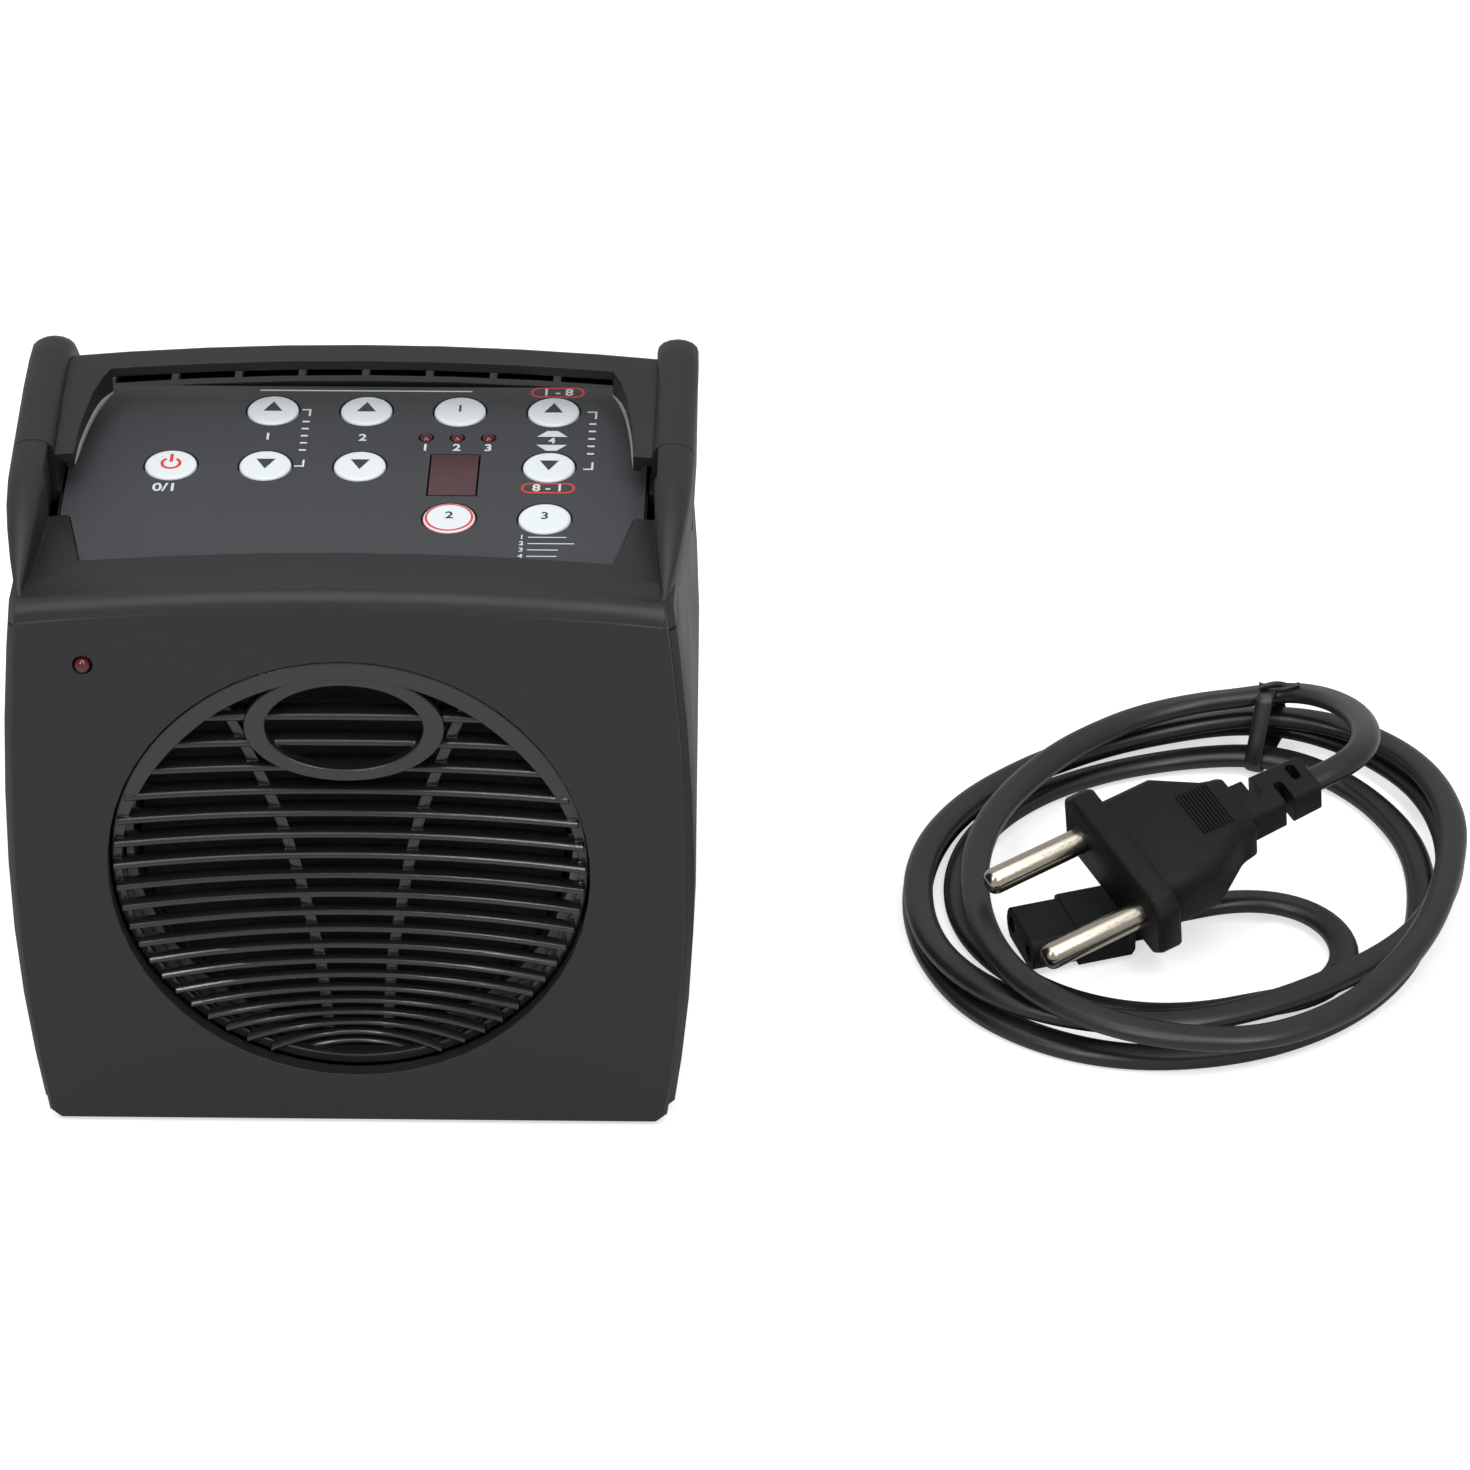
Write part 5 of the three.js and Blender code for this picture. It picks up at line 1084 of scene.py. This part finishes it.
def makeTie():
    angle = math.radians(lead["tieAngle"])
    x, y = lead["centre"]
    frameHere = (Matrix.Translation((x + tie["radius"] * math.cos(angle), y + tie["radius"] * math.sin(angle), 0))
                 @ Matrix.Rotation(angle, 4, "Z"))
    clear = tie["fit"] + tie["thick"] / 2
    held = []
    across, up = lead["width"] / 2 + clear, lead["height"] / 2 + clear
    for turn in range(tie["strands"]):  # the strands that pass under the tie
        p = frameHere.inverted() @ coilPoint(lead["start"] - lead["tieAngle"] + 360 * turn)
        held += [(p.x + across * math.cos(a), p.z + up * math.sin(a)) for a in around(24)]
    hull = [Vector(p) for p in outerLoop(held)]
    loop = [hull[i].lerp(hull[(i + 1) % len(hull)], t) for i in range(len(hull)) for t in (0, 0.34, 0.67)]
    top = max(p.y for p in loop)
    rows = []
    bm = bmesh.new()
    for i, p in enumerate(loop):
        along = (loop[(i + 1) % len(loop)] - loop[i - 1]).normalized()
        out = Vector((along.y, -along.x))
        section = []
        for a in around(16):
            across = tie["width"] / 2 * math.copysign(abs(math.cos(a)) ** 0.7, math.cos(a))
            lift = tie["thick"] / 2 * math.sin(a)
            section.append(bm.verts.new((p.x + out.x * lift, across, p.y + out.y * lift)))
        rows.append(section)
    for a, b in zip(rows, rows[1:] + rows[:1]):
        for k in range(16):
            bm.faces.new((a[k], a[(k + 1) % 16], b[(k + 1) % 16], b[k]))
    bmesh.ops.recalc_face_normals(bm, faces=bm.faces)
    way, wire = Vector(tie["twistWay"]).normalized(), tie["twistWire"]
    side = Vector((way.y, -way.x, 0))
    start = Vector((-0.5, 1.6, top + tie["twist"] * 0.75))
    for turn in (0, math.pi):
        rings = []
        for i in range(33):
            s = i / 32 * tie["twistLength"]
            a = turn + 2 * math.pi * s / tie["twistPitch"]
            spread = tie["twist"] / 2 * (1 if s < tie["twistLength"] - 1.2 else 1.25)  # the cut ends stand apart
            centre = start + way * s + side * (spread * math.cos(a)) + Vector((0, 0, spread * math.sin(a)))
            rings.append([tuple(centre + side * (wire * math.cos(b)) + Vector((0, 0, wire * math.sin(b))))
                          for b in around(10)])
        skinInto(bm, rings)
    placePiece("tie_band", bm, 50, frameHere, housing, tiePvc, ("lead_tie",))


makeTie()
print("tie twisted")


boreRadius = 3.06  # just outside the solid's bores, which have ten sides at a radius of 3


# four rods that turn the screw bores of the back rounder
def boreCutter():
    bm = bmesh.new()
    for x, y, z in fixings["case_screws"]["points"]:
        circle = circleLoop(x, z, boreRadius)
        skinInto(bm, [[(px, depth, pz) for px, pz in circle] for depth in (y + 0.1, y + 60)])
    return settle(meshFrom(bm, "bores", 20), unitFrame)


# a node's own shape, joined up, shaded smooth where it bends gently. The width is only an upper limit for its
# rounding: the clamp holds that under the shortest edge, about a tenth of a millimetre on the connector and inlet
# and next to nothing on the shells, whose soft edges come from the material's bevel alone
def roundedCopy(node, name, material, width, segments=2, angle=38, cutter=None):
    bm = bmesh.new()
    bm.from_mesh(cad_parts[node].data)
    bmesh.ops.remove_doubles(bm, verts=bm.verts, dist=0.004 * mm)
    bmesh.ops.dissolve_limit(bm, angle_limit=math.radians(0.5), verts=bm.verts, edges=bm.edges)
    made = meshFrom(bm, name, angle)
    if cutter:
        made = carved(made, cutter)
    made = bevelled(made, width * mm, segments, angle)
    made.name = name
    return addPiece(name, made, housing, material, (node,))


roundedCopy("front_shell", "front_moulding", housingAbs, 0.35)
roundedCopy("rear_shell", "rear_moulding", housingAbs, 0.35, cutter=boreCutter())
roundedCopy("appliance_connector", "connector_moulding", plugPvc, 0.3, 3, 25)
roundedCopy("mains_inlet", "inlet_moulding", plugPvc, 0.2, 2, 30)
print("mouldings copied")

# a slim bead along each of the window's two curved sides, pale grey as a painted highlight
trim = {
    "run": [(44.8, 43.4), (44.5, 49), (43.9, 54), (43.1, 58.8), (42, 62.6), (40.75, 65.0)],
    "inset": 0.15, "level": 98.1, "half": 0.27, "high": 0.65, "spacing": 0.8, "smoothing": 3,
}


def makeTrim():
    bm = bmesh.new()
    for side in (-1, 1):
        rings = []
        run = [Vector((side * (x - trim["inset"]), y, trim["level"])) for x, y in trim["run"]]
        points = softened(resampled(run, trim["spacing"]), trim["smoothing"])
        for i, p in enumerate(points):
            along = (points[min(i + 1, len(points) - 1)] - points[max(i - 1, 0)]).normalized()
            out = Vector((along.y, -along.x, 0))
            thin = min(1, 0.35 + i / 8, 0.35 + (len(points) - 1 - i) / 8)  # tapers to its ends
            half, high = trim["half"] * thin, trim["high"] * thin
            rings.append([p + out * (half * math.cos(a)) + Vector((0, 0, high * math.sin(a)))
                          for a in around(16)])
        skinInto(bm, rings)
    placePiece("window_trim", bm, 50, unitFrame, housing, paintedHighlightAbs)


makeTrim()
print("window trimmed")

# finishes of the CAD pieces that keep their shape
nodeFinishes = {
    "display_window": displayFilter, "display_module": plugPvc, "keypad_board": laminate, "main_board": laminate,
    "speaker_basket": zincSteel, "speaker_magnet": ferrite, "speaker_cone": conePaper, "transformer": coreSteel,
}
for name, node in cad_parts.items():
    finish = nodeFinishes.get(name)
    if name.startswith("inlet_pin"):
        finish = pinNickel
    elif name.startswith("connector_socket"):
        finish = socketBrass
    if finish:
        for k in range(len(node.material_slots)):
            node.material_slots[k].material = finish

# the stage: a pale floor and soft lamps
stage = {
    "floor": "#d6d6d6",
    "floorHalf": 6,
    "glow": 0.6,  # only for the camera, so that the pale floor reads white and keeps its shadow
    "world": 0.62,  # what lights the object; the camera sees the backdrop's 1.0
    "lamps": [  # name, place, aim, size, power
        ("overhead", (0, -0.05, 1.3), (0.07, 0, 0.05), (0.9, 0.6), 4.0),
        ("left", (-0.42, -0.7, 1.1), (0.05, 0, 0.05), (0.08, 0.9), 4.8),
        ("right", (0.5, -0.7, 1.1), (0.05, 0, 0.05), (0.08, 0.9), 5.6),
    ],
}


def addStage():
    bm = bmesh.new()
    bmesh.ops.create_grid(bm, x_segments=1, y_segments=1, size=stage["floorHalf"])
    floor = newObject("floor", meshFrom(bm, "floor"))
    made, tree, surface, _ = newMaterial("painted board, matt white",
                                         {"Base Color": linear(stage["floor"]), "Roughness": 0.9})
    glow = addNode(tree, "ShaderNodeEmission", None, {"Color": linear("#ffffff"), "Strength": stage["glow"]})
    seen = addNode(tree, "ShaderNodeLightPath").outputs["Is Camera Ray"]
    extra = addNode(tree, "ShaderNodeMixShader", None, {0: seen, 2: glow.outputs[0]})
    joined = addNode(tree, "ShaderNodeAddShader", None, {0: surface.outputs[0], 1: extra.outputs[0]})
    output = next(n for n in tree.nodes if n.type == "OUTPUT_MATERIAL")
    tree.links.new(joined.outputs[0], output.inputs["Surface"])
    floor.data.materials.append(made)
    world = bpy.data.worlds.new("studio")
    world.use_nodes = True
    world.node_tree.nodes.clear()
    tree = world.node_tree
    sky = addNode(tree, "ShaderNodeBackground", None, {"Color": linear("#ffffff"), "Strength": stage["world"]})
    backdrop = addNode(tree, "ShaderNodeBackground", None, {"Color": linear("#ffffff"), "Strength": 1.0})
    seen = addNode(tree, "ShaderNodeLightPath").outputs["Is Camera Ray"]
    mixed = addNode(tree, "ShaderNodeMixShader", None, {0: seen, 1: sky.outputs[0], 2: backdrop.outputs[0]})
    addNode(tree, "ShaderNodeOutputWorld", None, {"Surface": mixed.outputs[0]})
    scene.world = world
    for name, place, aim, size, power in stage["lamps"]:
        data = bpy.data.lights.new(name, "AREA")
        data.shape, data.size, data.size_y, data.energy = "RECTANGLE", *size, power
        lamp = newObject(name, data)
        lamp.location = place
        lamp.rotation_euler = (Vector(aim) - Vector(place)).to_track_quat("-Z", "Y").to_euler()


addStage()
print("stage lit")
